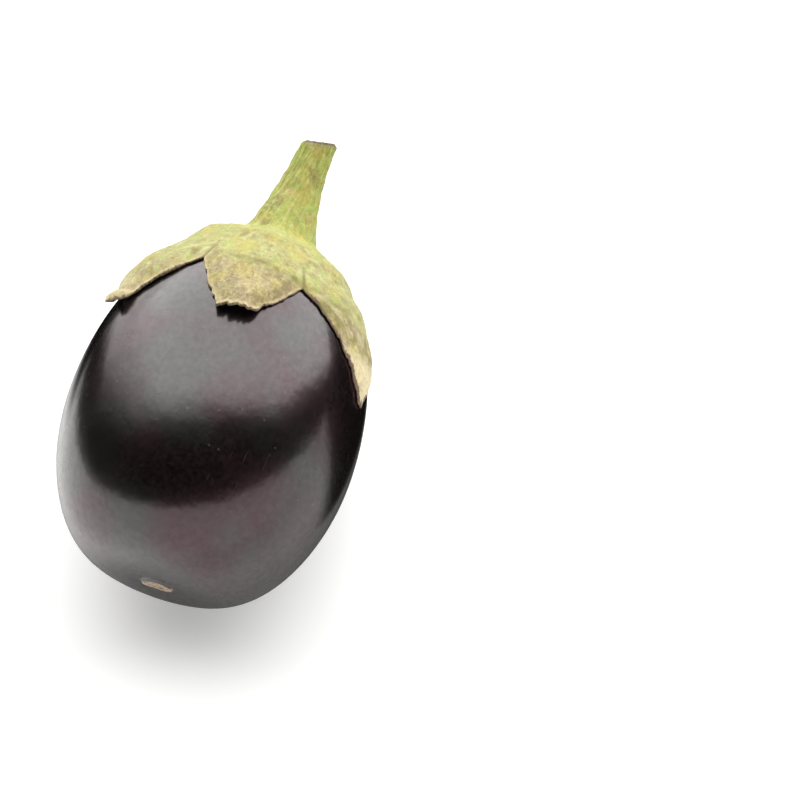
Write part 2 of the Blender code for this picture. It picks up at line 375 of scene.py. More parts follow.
@dataclass(frozen=True)
class Placement:
    """Where the fruit's own axis lies in the world."""

    raised: float
    place: tuple[float, float, float]

    @classmethod
    def from_frame(cls, form: FruitForm) -> Placement:
        """Works the place out from the box of the frame's fruit.

        Args:
            form: The shape that fills that box.

        Returns:
            The placement.
        """
        rows, columns = BOX_SAMPLES
        arcs, azimuths = np.linspace(0.0, form.outline[0][-1], rows), np.linspace(0.0, math.tau, columns)
        arc, azimuth = np.meshgrid(arcs, azimuths, indexing="ij")
        turn = np.array(Matrix.Rotation(-form.stem_raised, 3, "Y"))
        turned = form.point(arc, azimuth).reshape(-1, 3) @ turn.T
        low, high = turned.min(axis=0), turned.max(axis=0)
        box_low, box_high = (np.array(corner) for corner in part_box("fruit"))
        middle = (box_low + box_high) / 2.0 - (low + high) / 2.0
        return cls(form.stem_raised, (float(middle[0]), float(middle[1]), float(box_high[2] - high[2])))

    @cached_property
    def turn(self) -> Array:
        """The turn from the fruit's own axes to the world."""
        return np.array(Matrix.Rotation(-self.raised, 3, "Y"))

    def to_world(self, points: Array) -> Array:
        """Moves rows of points from the fruit's own axes to the world."""
        return points @ self.turn.T + np.array(self.place)

    def to_local(self, points: Array) -> Array:
        """Moves rows of points from the world to the fruit's own axes."""
        return (points - np.array(self.place)) @ self.turn


@dataclass(frozen=True)
class Sepal:
    """One lobe of the cap.

    Its angles are degrees round the axis from the top line, towards -Y, and its lengths metres. Lift,
    curl and arch say how far it stands off the skin at its end, at its tip and in its middle. Torn,
    fold, stain and pale are shares of how frayed, creased, brown-edged and cream-tipped it is.
    """

    start: float
    tip: float
    end: float
    reach: float
    fullness: float = 1.0
    blunt: float = 0.0
    lift: float = 0.5 * MM
    curl: float = 0.0
    bulk: float = 1.0
    knob: float = 0.0
    torn: float = 0.0
    fold: float = 0.4
    stain: float = 0.3
    pale: float = 0.5
    lean: float = 0.0
    arch: float = 0.0


@dataclass(frozen=True)
class CapForm:
    """The cap of sepals and its stem, which grow from one another."""

    fruit: FruitForm
    sepals: tuple[Sepal, ...] = (
        Sepal(
            -22.5, 3.5, 29.5, 37.0 * MM,
            blunt=0.24, lift=2.2 * MM, lean=3.0, curl=0.5 * MM, torn=1.0, fold=1.0, pale=0.0,
        ),
        Sepal(
            29.5, 74.5, 106.0, 42.0 * MM,
            fullness=1.5, lift=0.1 * MM, bulk=0.6, torn=1.0, fold=0.9, stain=1.0, pale=1.0,
        ),
        Sepal(106.0, 143.0, 180.0, 40.5 * MM, fullness=1.05, lift=0.7 * MM, curl=0.3 * MM, torn=0.2),
        Sepal(180.0, 219.0, 262.0, 39.0 * MM, fullness=0.9, blunt=0.12, lift=0.6 * MM, torn=0.6),
        Sepal(
            262.0, 305.0, 337.5, 38.5 * MM,
            fullness=1.1, blunt=0.05, lift=0.1 * MM, arch=0.6 * MM, curl=1.9 * MM, bulk=0.72, knob=1.0 * MM,
            torn=0.15, fold=0.8,
        ),
    )
    gap: float = 0.12 * MM
    cup_reach: float = 12.0 * MM
    flare_reach: float = 14.0 * MM
    flare_ease: float = 0.45
    cup_flesh: float = 1.6 * MM
    cup_fade: float = 5.6 * MM
    cup_flesh_tilt: float = 0.5 * MM
    cup_flesh_azimuth: float = math.radians(-98.0)
    bulk_from: float = 16.0 * MM
    bulk_fade: float = 2.6 * MM
    knob_length: float = 3.2 * MM
    knob_round: float = 1.3 * MM
    arch_flesh: float = 0.7
    sinus_reach: float = 26.2 * MM
    sinus_tilt: float = 1.0 * MM
    sinus_azimuth: float = math.radians(-50.0)
    seam_width: float = 2.5
    sheet_thickness_mid: float = 1.25 * MM
    margin_thickness: float = 0.6 * MM
    rib_height: float = 0.3 * MM
    margin_fade: float = 4.0 * MM
    ragged: float = 0.3 * MM
    ragged_waves: tuple[float, float] = (23.0, 9.0)
    ragged_phase: float = 1.1
    fray: float = 0.34 * MM
    fray_waves: tuple[int, ...] = (31, 47, 73, 109, 157)
    fray_phase: float = 1.7
    fray_fade: float = 0.012
    fray_least: float = 0.25
    curl_share: float = 0.72
    lift_narrowing: float = 1.8
    arch_start: float = -0.35
    arch_rise: float = 0.5
    arch_fall: float = 0.3
    arch_ease: float = 0.6
    arch_loss: float = 0.95
    arch_narrowing: float = 1.1
    stem_base: float = 41.6 * MM
    stem_length: float = 21.0 * MM
    stem_base_radius: float = 6.8 * MM
    stem_cut_radius: float = 3.3 * MM
    stem_taper: float = 1.85
    stem_bend: float = math.radians(15.0)
    stem_bend_azimuth: float = math.radians(29.5)
    stem_rib_share: float = 0.06
    stem_rib_fade: float = 0.6
    cut_slant: float = 0.33
    cut_slant_azimuth: float = math.radians(127.0)
    cut_slant_power: int = 4
    cut_sink: float = 0.3 * MM
    cut_bevel: float = 0.7 * MM

    @cached_property
    def rows(self) -> dict[str, Array]:
        """Each number of the sepals as one array."""
        names = Sepal.__dataclass_fields__
        return {name: np.array([getattr(sepal, name) for sepal in self.sepals]) for name in names}

    def degrees(self, azimuth: Array) -> Array:
        """The azimuths in degrees, counted up from the first sepal's start."""
        first = self.sepals[0].start
        return first + (np.degrees(azimuth) - first) % 360.0

    def sepal_at(self, azimuth: Array) -> tuple[dict[str, Array], Array]:
        """The sepal at each azimuth.

        Args:
            azimuth: Angles round the axis.

        Returns:
            The sepal's numbers, and how far off its midline each azimuth is: 0 on it, 1 at the sinus.
        """
        degrees = self.degrees(azimuth)
        index = np.minimum(np.searchsorted(self.rows["end"], degrees), len(self.sepals) - 1)
        here = {name: values[index] for name, values in self.rows.items()}
        side = np.where(degrees < here["tip"], here["tip"] - here["start"], here["end"] - here["tip"])
        return here, np.minimum(1.0, np.abs(degrees - here["tip"]) / side)

    def ridge(self, azimuth: Array) -> Array:
        """1 on a sepal's midline, -1 at a sinus."""
        return np.cos(math.pi * self.sepal_at(azimuth)[1])

    def margin_reach(self, azimuth: Array) -> Array:
        """Arc length from the stem end to the cap's margin, frayed most where the sepal is torn.

        Args:
            azimuth: Angles round the axis.

        Returns:
            Arc lengths.
        """
        here, off = self.sepal_at(azimuth)
        share = np.minimum(1.0, (1.0 - off) / (1.0 - here["blunt"])) ** here["fullness"]
        quick, slow = self.ragged_waves
        ragged = self.ragged * share * np.sin(quick * azimuth + self.ragged_phase) * np.sin(slow * azimuth)
        turn, fade = azimuth + self.fray_phase, self.fray_fade
        waves = sum(np.sin(count * turn) / (1.0 + fade * count) for count in self.fray_waves)
        frayed = self.fray * waves * (self.fray_least + share * here["torn"])
        sinus = self.sinus(azimuth)
        return sinus + (here["reach"] - sinus) * share + ragged + frayed

    def sinus(self, azimuth: Array) -> Array:
        """Arc length from the stem end to the notches between the sepals, less on the one side."""
        return self.sinus_reach - self.sinus_tilt * np.cos(azimuth - self.sinus_azimuth)

    def bulk(self, azimuth: Array) -> Array:
        """Share of the sheet's thickness that each sepal has, eased from one sepal to the next.

        Args:
            azimuth: Angles round the axis.

        Returns:
            Shares.
        """
        degrees = self.degrees(azimuth)
        bulk = np.full_like(degrees, self.sepals[-1].bulk)
        before = self.sepals[-1].bulk
        for sepal in self.sepals:
            bulk = bulk + (sepal.bulk - before) * smooth_step((degrees - sepal.start) / self.seam_width)
            before = sepal.bulk
        return bulk

    def thickness(self, arc: Array, azimuth: Array) -> Array:
        """Thickness of the cap: fleshy round the stem, thin at the margin, with a rib on each sepal.

        Args:
            arc: Arc lengths from the stem end.
            azimuth: Angles round the axis.

        Returns:
            Metres.
        """
        flesh = self.cup_flesh + self.cup_flesh_tilt * np.cos(azimuth - self.cup_flesh_azimuth)
        flesh = flesh * (1.0 - smooth_step((arc - self.cup_reach) / self.cup_fade))
        to_margin = smooth_step((self.margin_reach(azimuth) - arc) / self.margin_fade)
        rib = self.rib_height * self.ridge(azimuth)
        middle = self.sheet_thickness_mid - self.margin_thickness + rib
        thinned = 1.0 + (self.bulk(azimuth) - 1.0) * smooth_step((arc - self.bulk_from) / self.bulk_fade)
        here, _ = self.sepal_at(azimuth)
        past_neck = arc - here["reach"] + self.knob_length
        knob = here["knob"] * smooth_step(2.0 * past_neck / self.knob_length)
        to_end = np.clip((self.margin_reach(azimuth) - arc) / self.knob_round, 0.0, 1.0)
        knob = knob * np.sqrt(1.0 - (1.0 - to_end) ** 2)
        midrib = self.arch_flesh * here["arch"] * self.arched(arc, azimuth)
        return (self.margin_thickness + middle * to_margin) * thinned + knob + midrib + flesh

    def arched(self, arc: Array, azimuth: Array) -> Array:
        """Share of a sepal's arch at each point: none by the cup and by the sides, full along the midline.

        Args:
            arc: Arc lengths from the stem end.
            azimuth: Angles round the axis.

        Returns:
            Shares from 0 to 1.
        """
        here, off = self.sepal_at(azimuth)
        sinus = self.sinus(azimuth)
        share = (arc - sinus) / (here["reach"] - sinus)
        risen = smooth_step((share - self.arch_start) / self.arch_rise)
        fallen = self.arch_loss * smooth_step((share - self.arch_fall) / self.arch_ease)
        return risen * (1.0 - fallen) * (1.0 - smooth_step(off * self.arch_narrowing))

    def lift(self, arc: Array, azimuth: Array) -> Array:
        """How far the cap's underside stands off the skin.

        Args:
            arc: Arc lengths from the stem end.
            azimuth: Angles round the axis.

        Returns:
            Metres.
        """
        here, _ = self.sepal_at(azimuth)
        sinus = self.sinus(azimuth)
        share = np.maximum(0.0, (arc - sinus) / (here["reach"] - sinus))
        curled = np.maximum(0.0, (share - self.curl_share) / (1.0 - self.curl_share))
        from_peak = np.abs(self.degrees(azimuth) - here["tip"] - here["lean"])
        from_peak = from_peak / (here["end"] - here["start"])
        midline = 1.0 - smooth_step(2.0 * self.lift_narrowing * from_peak)
        raised = here["lift"] * share**2 * midline + here["arch"] * self.arched(arc, azimuth)
        return self.gap + raised + here["curl"] * curled**2

    def middle(self, arc: Array, azimuth: Array) -> Array:
        """Points halfway through the cap's thickness."""
        off = self.lift(arc, azimuth) + self.thickness(arc, azimuth) / 2.0
        return self.fruit.point(arc, azimuth) + self.fruit.normal(arc, azimuth) * off[..., None]

    def normal(self, arc: Array, azimuth: Array, step: float = 0.2 * MM, turn: float = 0.004) -> Array:
        """Outward normals of the cap, square to its lifted and curled sheet.

        Args:
            arc: Arc lengths from the stem end.
            azimuth: Angles round the axis.
            step: Arc length over which the slope is measured.
            turn: Angle over which it is measured.

        Returns:
            Unit vectors.
        """
        along = self.middle(arc + step, azimuth) - self.middle(arc - step, azimuth)
        across = self.middle(arc, azimuth + turn) - self.middle(arc, azimuth - turn)
        out = self.fruit.normal(arc, azimuth)
        across -= out * np.sum(across * out, axis=-1, keepdims=True)
        return -unit(np.cross(across, along))

    def face(self, arc: Array, azimuth: Array, side: float) -> Array:
        """Points on the cap's upper face where side is 1, and on its underside where side is -1."""
        half = self.thickness(arc, azimuth)[..., None] / 2.0
        return self.middle(arc, azimuth) + self.normal(arc, azimuth) * half * side

    def stem_frame(self, share: Array) -> tuple[Array, Array, Array]:
        """Centres, directions and bend angles of the stem, bent in one smooth arc.

        Args:
            share: Shares of the stem's length, from its base.

        Returns:
            Places, unit vectors and angles.
        """
        angle = self.stem_bend * share
        arc_radius = self.stem_length / self.stem_bend
        forward = along_axis(np.array(1.0))
        sideways = around(np.array(self.stem_bend_azimuth))
        sine, cosine = np.sin(angle)[..., None], np.cos(angle)[..., None]
        centre = forward * self.stem_base + arc_radius * (forward * sine + sideways * (1.0 - cosine))
        return centre, forward * cosine + sideways * sine, angle

    def stem_point(self, share: Array, azimuth: Array, radius_share: Array | float = 1.0) -> Array:
        """Points on the stem, or inside it where radius_share is under 1.

        Args:
            share: Shares of the stem's length, from its base.
            azimuth: Angles round the axis.
            radius_share: Shares of its radius.

        Returns:
            Places in the fruit's own axes.
        """
        centre, direction, angle = self.stem_frame(share)
        sideways = around(np.array(self.stem_bend_azimuth))
        bent_sideways = sideways * np.cos(angle)[..., None] - along_axis(np.sin(angle))
        spoke = around(azimuth)
        spoke = spoke + np.sum(spoke * sideways, axis=-1, keepdims=True) * (bent_sideways - sideways)
        wide = self.stem_base_radius - self.stem_cut_radius
        radius = self.stem_cut_radius + wide * (1.0 - share) ** self.stem_taper
        ribs = self.stem_rib_share * self.ridge(azimuth) * (1.0 - self.stem_rib_fade * share)
        radius = radius * (1.0 + ribs) * radius_share
        from_low_side = azimuth - self.cut_slant_azimuth
        slant = radius * self.cut_slant * share**self.cut_slant_power * np.cos(from_low_side)
        return centre + spoke * radius[..., None] + direction * slant[..., None]


def add_object(name: str, mesh: bpy.types.Mesh) -> bpy.types.Object:
    """Puts a mesh into the scene as an object at the origin.

    Args:
        name: The object's name.
        mesh: Its mesh.

    Returns:
        The object.
    """
    made = bpy.data.objects.new(name, mesh)
    bpy.context.scene.collection.objects.link(made)
    return made


def store(mesh: bpy.types.Mesh, layer: Layer, values: Array) -> None:
    """Keeps one number or one vector for each vertex of a mesh.

    Args:
        mesh: The mesh.
        layer: Which values these are.
        values: One row for each vertex.
    """
    kind, key = ("FLOAT_VECTOR", "vector") if values.ndim == 2 else ("FLOAT", "value")
    made = mesh.attributes.new(layer.value, kind, "POINT")
    made.data.foreach_set(key, np.ascontiguousarray(values, dtype=np.float32).ravel())


def vertices_of(mesh: bpy.types.Mesh) -> Array:
    """The places of a mesh's vertices, one row each.

    Args:
        mesh: The mesh.

    Returns:
        The rows.
    """
    places = np.empty(len(mesh.vertices) * 3, dtype=np.float32)
    mesh.vertices.foreach_get("co", places)
    return places.reshape(-1, 3).astype(float)


def closed_surface(name: str, rings: Array) -> bpy.types.Mesh:
    """Joins rings of points into a closed surface.

    Args:
        name: The mesh's name.
        rings: Points by ring and column. The first and the last ring are one point each.

    Returns:
        The mesh, with its faces outwards. Its vertices are the first point, the inner rings one
        after another, and the last point.
    """
    count, columns = rings.shape[0] - 2, rings.shape[1]
    points = np.concatenate([rings[0, :1], rings[1:-1].reshape(-1, 3), rings[-1, :1]])
    index = 1 + np.arange(count * columns).reshape(count, columns)
    beside = np.roll(index, -1, axis=1)
    quads = np.stack([index[:-1], index[1:], beside[1:], beside[:-1]], axis=-1).reshape(-1, 4)
    last = len(points) - 1
    top = [(0, int(a), int(b)) for a, b in zip(index[0], beside[0])]
    bottom = [(last, int(b), int(a)) for a, b in zip(index[-1], beside[-1])]
    mesh = bpy.data.meshes.new(name)
    mesh.from_pydata(points.tolist(), [], top + quads.tolist() + bottom)
    mesh.shade_smooth()
    return mesh


def once_each(values: Array) -> Array:
    """Lists values by ring and column in the order of a closed surface's vertices."""
    inner = values[1:-1].reshape(-1, *values.shape[2:])
    return np.concatenate([values[0, :1], inner, values[-1, :1]])


def grown(name: str, tree: bpy.types.NodeTree, sizes: dict[str, Any]) -> bpy.types.Mesh:
    """Runs a Geometry Nodes tree once and keeps what it makes as a plain mesh.

    Args:
        name: The mesh's name.
        tree: The tree.
        sizes: A value for each named input.

    Returns:
        The plain mesh.
    """
    holder = add_object(name + "_holder", bpy.data.meshes.new(name + "_start"))
    modifier = holder.modifiers.new("grow", "NODES")
    modifier.node_group = tree
    for item in tree.interface.items_tree:
        if item.item_type == "SOCKET" and item.in_out == "INPUT" and item.name in sizes:
            modifier[item.identifier] = sizes[item.name]
    evaluated = holder.evaluated_get(bpy.context.evaluated_depsgraph_get())
    mesh = bpy.data.meshes.new_from_object(evaluated)
    mesh.name = name
    holder.modifiers.remove(modifier)
    bpy.data.objects.remove(holder)
    return mesh


# The outline as a rule: how far along the axis, across and up each point of a ball of radius 1 goes.
OUTLINE_RULE = (
    ("turn", "ARCTAN2", "y", "x"),
    ("polar", "ARCCOSINE", "z"),
    ("from stem end", "DIVIDE", "polar", math.pi / 2.0),
    ("from blossom end", "SUBTRACT", 2.0, "from stem end"),
    ("nearer end", "MINIMUM", "from stem end", "from blossom end"),
    ("from end", "MAXIMUM", "nearer end", 0.0),
    ("drop", "POWER", "from end", "Bluntness"),
    ("share", "SUBTRACT", 1.0, "drop"),
    ("square", "MULTIPLY", "share", "share"),
    ("fourth", "MULTIPLY", "square", "square"),
    ("fall past one", "SUBTRACT", "Side Fall", 1.0),
    ("narrowing", "MULTIPLY", "square", "Side Fall"),
    ("left over", "SUBTRACT", 1.0, "narrowing"),
    ("eased", "MULTIPLY_ADD", "fourth", "fall past one", "left over"),
    ("inside", "MAXIMUM", "eased", 0.0),
    ("root", "DIVIDE", 1.0, "Bluntness"),
    ("girth", "POWER", "inside", "root"),
    ("plain radius", "MULTIPLY", "girth", "Radius"),
    ("from oval", "SUBTRACT", "turn", "Oval Azimuth"),
    ("twice round", "MULTIPLY", "from oval", 2.0),
    ("oval wave", "COSINE", "twice round"),
    ("oval", "MULTIPLY", "oval wave", "Oval Share"),
    ("flute turn", "MULTIPLY", "turn", "Flute Count"),
    ("flute wave", "COSINE", "flute turn"),
    ("out of round", "MULTIPLY_ADD", "flute wave", "Flute Share", "oval"),
    ("belly", "MULTIPLY", "girth", "girth"),
    ("swelling", "MULTIPLY_ADD", "out of round", "belly", 1.0),
    ("radius", "MULTIPLY", "plain radius", "swelling"),
    ("round cosine", "COSINE", "turn"),
    ("round sine", "SINE", "turn"),
    ("up", "MULTIPLY", "radius", "round cosine"),
    ("left", "MULTIPLY", "radius", "round sine"),
    ("across", "MULTIPLY", "left", -1.0),
    ("at stem", "GREATER_THAN", "z", 0.0),
    ("at blossom", "SUBTRACT", 1.0, "at stem"),
    ("both reaches", "ADD", "Stem Reach", "Blossom Reach"),
    ("backwards", "MULTIPLY", "Blossom Reach", -1.0),
    ("reach", "MULTIPLY_ADD", "at stem", "both reaches", "backwards"),
    ("plain along", "MULTIPLY", "reach", "share"),
    ("dimple", "EASED", "plain radius", 0.0, "Dimple Radius", "Dimple Depth", 0.0),
    ("dipped", "MULTIPLY_ADD", "dimple", "at blossom", "plain along"),
    ("scar", "EASED", "plain radius", "Scar Inner", "Scar Outer", 1.0, 0.0),
    ("scar here", "MULTIPLY", "scar", "at blossom"),
    ("raised scar", "MULTIPLY", "scar here", "Scar Height"),
    ("along", "SUBTRACT", "dipped", "raised scar"),
    ("swell scale", "DIVIDE", 1.0, "Swell Size"),
    ("cork scale", "DIVIDE", 1.0, "Cork Size"),
)

# How far each point then stands out, by a slow swell and the scar's crumbs, and its height on the ground.
RELIEF_RULE = (
    ("swell centred", "SUBTRACT", "swell", 0.5),
    ("swell rise", "MULTIPLY", "swell centred", "Swell Height"),
    ("cork centred", "SUBTRACT", "cork", 0.5),
    ("cork here", "MULTIPLY", "scar here", "Cork Height"),
    ("stand out", "MULTIPLY_ADD", "cork centred", "cork here", "swell rise"),
    ("off ground", "SMOOTH_MAX", "z", 0.0, "Flat Softness"),
)


@dataclass(frozen=True)
class Fruit:
    """The fruit: a ball laid onto the outline's rule."""

    form: FruitForm
    placement: Placement
    segments: int = 240
    rings: int = 260
    swell_size: float = 16.0 * MM
    swell_height: float = 0.12 * MM
    cork_size: float = 0.9 * MM
    cork_height: float = 0.16 * MM
    flat_softness: float = 0.12 * MM
    scar_squash: float = 1.55
    seed: float = 4.0

    def sizes(self, material: bpy.types.Material | None = None) -> dict[str, Any]:
        """Lists the tree's named inputs, most of which are fields of the form or of this class.

        Args:
            material: The skin's material.

        Returns:
            A value for each input.
        """
        form = self.form
        sizes = {
            "Segments": self.segments,
            "Rings": self.rings,
            "Scar Inner": form.scar_radius - form.scar_slope / 2.0,
            "Scar Outer": form.scar_radius + form.scar_slope / 2.0,
            "Raised": (0.0, -self.placement.raised, 0.0),
            "Place": self.placement.place,
            "Skin": material,
        }
        of_form = ("Blossom Reach", "Stem Reach", "Radius", "Bluntness", "Side Fall", "Oval Share")
        of_form += ("Oval Azimuth", "Flute Share", "Flute Count")
        of_form += ("Dimple Depth", "Dimple Radius", "Scar Height")
        of_fruit = ("Swell Size", "Swell Height", "Cork Size", "Cork Height", "Seed", "Flat Softness")
        for owner, names in ((form, of_form), (self, of_fruit)):
            for name in names:
                sizes[name] = float(getattr(owner, name.lower().replace(" ", "_")))
        return sizes

    def tree(self) -> bpy.types.NodeTree:
        """Makes the Geometry Nodes tree that shapes the fruit and sets it down.

        Returns:
            The tree.
        """
        tree = bpy.data.node_groups.new("fruit_outline", "GeometryNodeTree")
        kinds = {"Segments": "Int", "Rings": "Int", "Skin": "Material", "Raised": "Vector", "Place": "Vector"}
        for name in self.sizes():
            kind = "NodeSocket" + kinds.get(name, "Float")
            tree.interface.new_socket(name=name, in_out="INPUT", socket_type=kind)
        tree.interface.new_socket(name="Geometry", in_out="OUTPUT", socket_type="NodeSocketGeometry")
        sizes = add_node(tree, "NodeGroupInput").outputs
        known: dict[str, Any] = {socket.name: socket for socket in sizes if socket.name}
        position = add_node(tree, "GeometryNodeInputPosition").outputs[0]
        split = add_node(tree, "ShaderNodeSeparateXYZ", {0: position}).outputs
        known.update(zip("xyz", split))
        add_steps(tree, known, OUTLINE_RULE)
        laid = {0: known["along"], 1: known["across"], 2: known["up"]}
        laid = add_node(tree, "ShaderNodeCombineXYZ", laid).outputs[0]
        for name, vector, detail in (("swell", position, 1.0), ("cork", laid, 2.0)):
            look = {"Vector": vector, "W": sizes["Seed"], "Scale": known[name + " scale"], "Detail": detail}
            known[name] = add_node(tree, "ShaderNodeTexNoise", look, noise_dimensions="4D").outputs[0]
        add_steps(tree, known, RELIEF_RULE)
        push = {0: add_node(tree, "GeometryNodeInputNormal").outputs[0], "Scale": known["stand out"]}
        push = add_node(tree, "ShaderNodeVectorMath", push, operation="SCALE").outputs[0]
        floored = {0: split[0], 1: split[1], 2: known["off ground"]}
        floored = add_node(tree, "ShaderNodeCombineXYZ", floored).outputs[0]
        ball = {"Segments": sizes["Segments"], "Rings": sizes["Rings"], "Radius": 1.0}
        shape = add_node(tree, "GeometryNodeMeshUVSphere", ball).outputs["Mesh"]
        for kind, links in (
            ("GeometryNodeSetPosition", {"Position": laid}),
            ("GeometryNodeSetPosition", {"Offset": push}),
            ("GeometryNodeTransform", {"Translation": sizes["Place"], "Rotation": sizes["Raised"]}),
            ("GeometryNodeSetPosition", {"Position": floored}),
            ("GeometryNodeRealizeInstances", {}),
            ("GeometryNodeSetMaterial", {"Material": sizes["Skin"]}),
        ):
            shape = add_node(tree, kind, {"Geometry": shape, **links}).outputs[0]
        add_node(tree, "NodeGroupOutput", {"Geometry": shape})
        return tree

    def build(self, cap: CapForm, material: bpy.types.Material) -> bpy.types.Object:
        """Grows the fruit and stores what its skin's finish reads.

        Args:
            cap: The cap, whose margin tints the skin beside it.
            material: The skin's material.

        Returns:
            The fruit.
        """
        mesh = grown("eggplant_fruit", self.tree(), self.sizes(material))
        mesh.shade_smooth()
        local = self.placement.to_local(vertices_of(mesh))
        azimuth = np.arctan2(-local[:, 1], local[:, 2])
        arc = self.form.arc_at(local[:, 0])
        scar = np.hypot(local[:, 1], local[:, 2] * self.scar_squash)
        wide = self.form.radius / MM
        grain = np.stack([np.cos(azimuth) * wide, np.sin(azimuth) * wide, arc / MM], axis=-1)
        store(mesh, Layer.GRAIN, grain)
        store(mesh, Layer.FROM_BLOSSOM, np.where(local[:, 0] < 0.0, scar / MM, FAR_MM))
        store(mesh, Layer.FROM_CAP, (arc - cap.margin_reach(azimuth)) / MM)
        fruit = add_object("eggplant_fruit", mesh)
        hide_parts("fruit")
        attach(fruit, BODY)
        return fruit


@dataclass(frozen=True)
class Cap:
    """The calyx and stem as one closed surface, from the cut down the stem, out to the margin and back.

    Names that end in mm are distances in millimetres. The bumps' heights are metres on the surface, and
    plain numbers where they only make an edge wander. Least and most are limits of a share.
    """

    form: CapForm
    placement: Placement
    columns_per_sepal: int = 120
    cut_rings: int = 12
    stem_rings: int = 50
    flare_rings: int = 18
    sheet_rings: int = 52
    margin_rings: int = 4
    under_rings: int = 12
    fibre_height: float = 0.10 * MM
    # Each wave's count round the stem, its drift with the wander, its phase and its share.
    fibre_waves: tuple[tuple[float, float, float, float], ...] = (
        (19.0, 2.0, 0.0, 1.0),
        (31.0, -3.0, 1.0, 0.7),
    )
    fibre_least: float = 0.35
    lumpy: Bumps = Bumps(0.13 * MM, 2.6 * MM, 5)
    warty: Bumps = Bumps(0.07 * MM, 0.9 * MM, 7)
    cockled: Bumps = Bumps(0.22 * MM, 6.5 * MM, 9)
    knobbly: Bumps = Bumps(0.08 * MM, 1.7 * MM, 13)
    rough_cut: Bumps = Bumps(0.12 * MM, 0.9 * MM, 21, 3)
    wander: Bumps = Bumps(1.2, 5.0 * MM, 3)
    crease_wander: float = 3.0
    line_wander: float = 0.9
    dry_edge: Bumps = Bumps(1.3, 1.8 * MM, 15)
    fold_breaks: Bumps = Bumps(1.6, 4.2 * MM, 17)
    bruise_breaks: Bumps = Bumps(1.6, 2.0 * MM, 19)
    cut_rise_from: float = 0.5
    crease_depth: float = 0.22 * MM
    crease_reach_mm: float = 11.0
    crease_width: float = 1.5
    second_crease: tuple[float, float, float] = (6.5, 1.1, 0.6)
    second_crease_from_mm: float = 3.0
    fold_depth: float = 0.16 * MM
    fold_place_mm: float = -1.0
    fold_least: float = 0.3
    # Share of painted shade along each sepal's fold line in the calyx's colour.
    fold_painted_shade: float = 0.7
    dry_from_mm: float = -1.6
    dry_over_mm: float = 4.2
    dry_least: float = 0.25
    bruise_place_mm: float = 3.0
    bruise_reach_mm: float = 4.0
    bruise_least: float = 0.35
    bruise_most: float = 0.8
    stain_reach_mm: float = 1.7
    pale_from_mm: float = 3.5
    pale_over_mm: float = 6.5
    flare_green: tuple[float, float] = (0.5, 0.28)
    green_fade_mm: float = 5.0
    edge_ease_mm: float = 0.6
    edge_rough: float = 0.35
    edge_bulge: float = 0.4
    edge_step: float = 0.3 * MM
    grain_radius_mm: float = 7.0

    def azimuths(self) -> Array:
        """Lays out the columns in equal steps from each sinus to the tip and on to the next.

        Returns:
            Their azimuths.
        """
        half = self.columns_per_sepal // 2
        degrees = []
        for sepal in self.form.sepals:
            degrees.append(np.linspace(sepal.start, sepal.tip, half, endpoint=False))
            degrees.append(np.linspace(sepal.tip, sepal.end, half, endpoint=False))
        return np.radians(np.concatenate(degrees))

    def cut_face(self, azimuth: Array) -> tuple[Array, Array]:
        """Makes the stem's cut face from its sunk middle to its rim.

        Args:
            azimuth: Azimuths of the columns.

        Returns:
            Rings of points and their shares of the radius.
        """
        form = self.form
        rim = 1.0 - form.cut_bevel / form.stem_cut_radius
        share, turn = np.meshgrid(np.linspace(0.0, rim, self.cut_rings), azimuth, indexing="ij")
        points = form.stem_point(np.ones_like(share), turn, share)
        direction = form.stem_frame(np.ones(1))[1]
        rise_from = self.cut_rise_from
        sink = form.cut_sink * (1.0 - smooth_step((share - rise_from) / (rim - rise_from)))
        points = points - direction * sink[..., None]
        rough = self.rough_cut.at(points) * smooth_step(share * 6.0)
        return points + direction * rough[..., None], share

    def stem(self, azimuth: Array) -> tuple[Array, Array]:
        """Makes the stem from the cut's bevel to its base.

        Args:
            azimuth: Azimuths of the columns.

        Returns:
            Rings of points and their shares of the stem's length.
        """
        back = 1.0 - self.form.cut_bevel / self.form.stem_length
        share, turn = np.meshgrid(np.linspace(back, 0.0, self.stem_rings), azimuth, indexing="ij")
        return self.form.stem_point(share, turn), share

    def flare(self, azimuth: Array) -> tuple[Array, Array]:
        """Makes the smooth flare from the stem's base to the cup, as cubic curves.

        Args:
            azimuth: Azimuths of the columns.

        Returns:
            Rings of points and their shares of the way.
        """
        form = self.form
        zero = np.zeros_like(azimuth)
        reach = zero + form.flare_reach
        base, sheet = form.stem_point(zero, azimuth), form.face(reach, azimuth, 1.0)
        outward = unit(form.face(reach + MM, azimuth, 1.0) - sheet)
        down = unit(base - form.stem_point(zero + 0.1, azimuth))
        span = np.linalg.norm(sheet - base, axis=-1, keepdims=True) * form.flare_ease
        share = np.linspace(0.0, 1.0, self.flare_rings + 2)[1:-1, None, None]
        square, cube = share**2, share**3
        points = base * (2.0 * cube - 3.0 * square + 1.0) + sheet * (3.0 * square - 2.0 * cube)
        points = points + down * span * (cube - 2.0 * square + share) + outward * span * (cube - square)
        return points, np.broadcast_to(share[..., 0], points.shape[:2])

    def sheet(self, azimuth: Array, rings: int, side: float) -> tuple[Array, Array]:
        """Makes one face of the sepals from the cup to the margin.

        Args:
            azimuth: Azimuths of the columns.
            rings: Number of rings.
            side: 1 for the upper face, -1 for the underside.

        Returns:
            Rings of points and their distances to the margin in millimetres.
        """
        form = self.form
        reach = form.margin_reach(azimuth)
        share, turn = np.meshgrid(np.linspace(0.0, 1.0, rings), azimuth, indexing="ij")
        arc = form.flare_reach + (reach - form.flare_reach) * share
        return form.face(arc, turn, side), (reach - arc) / MM

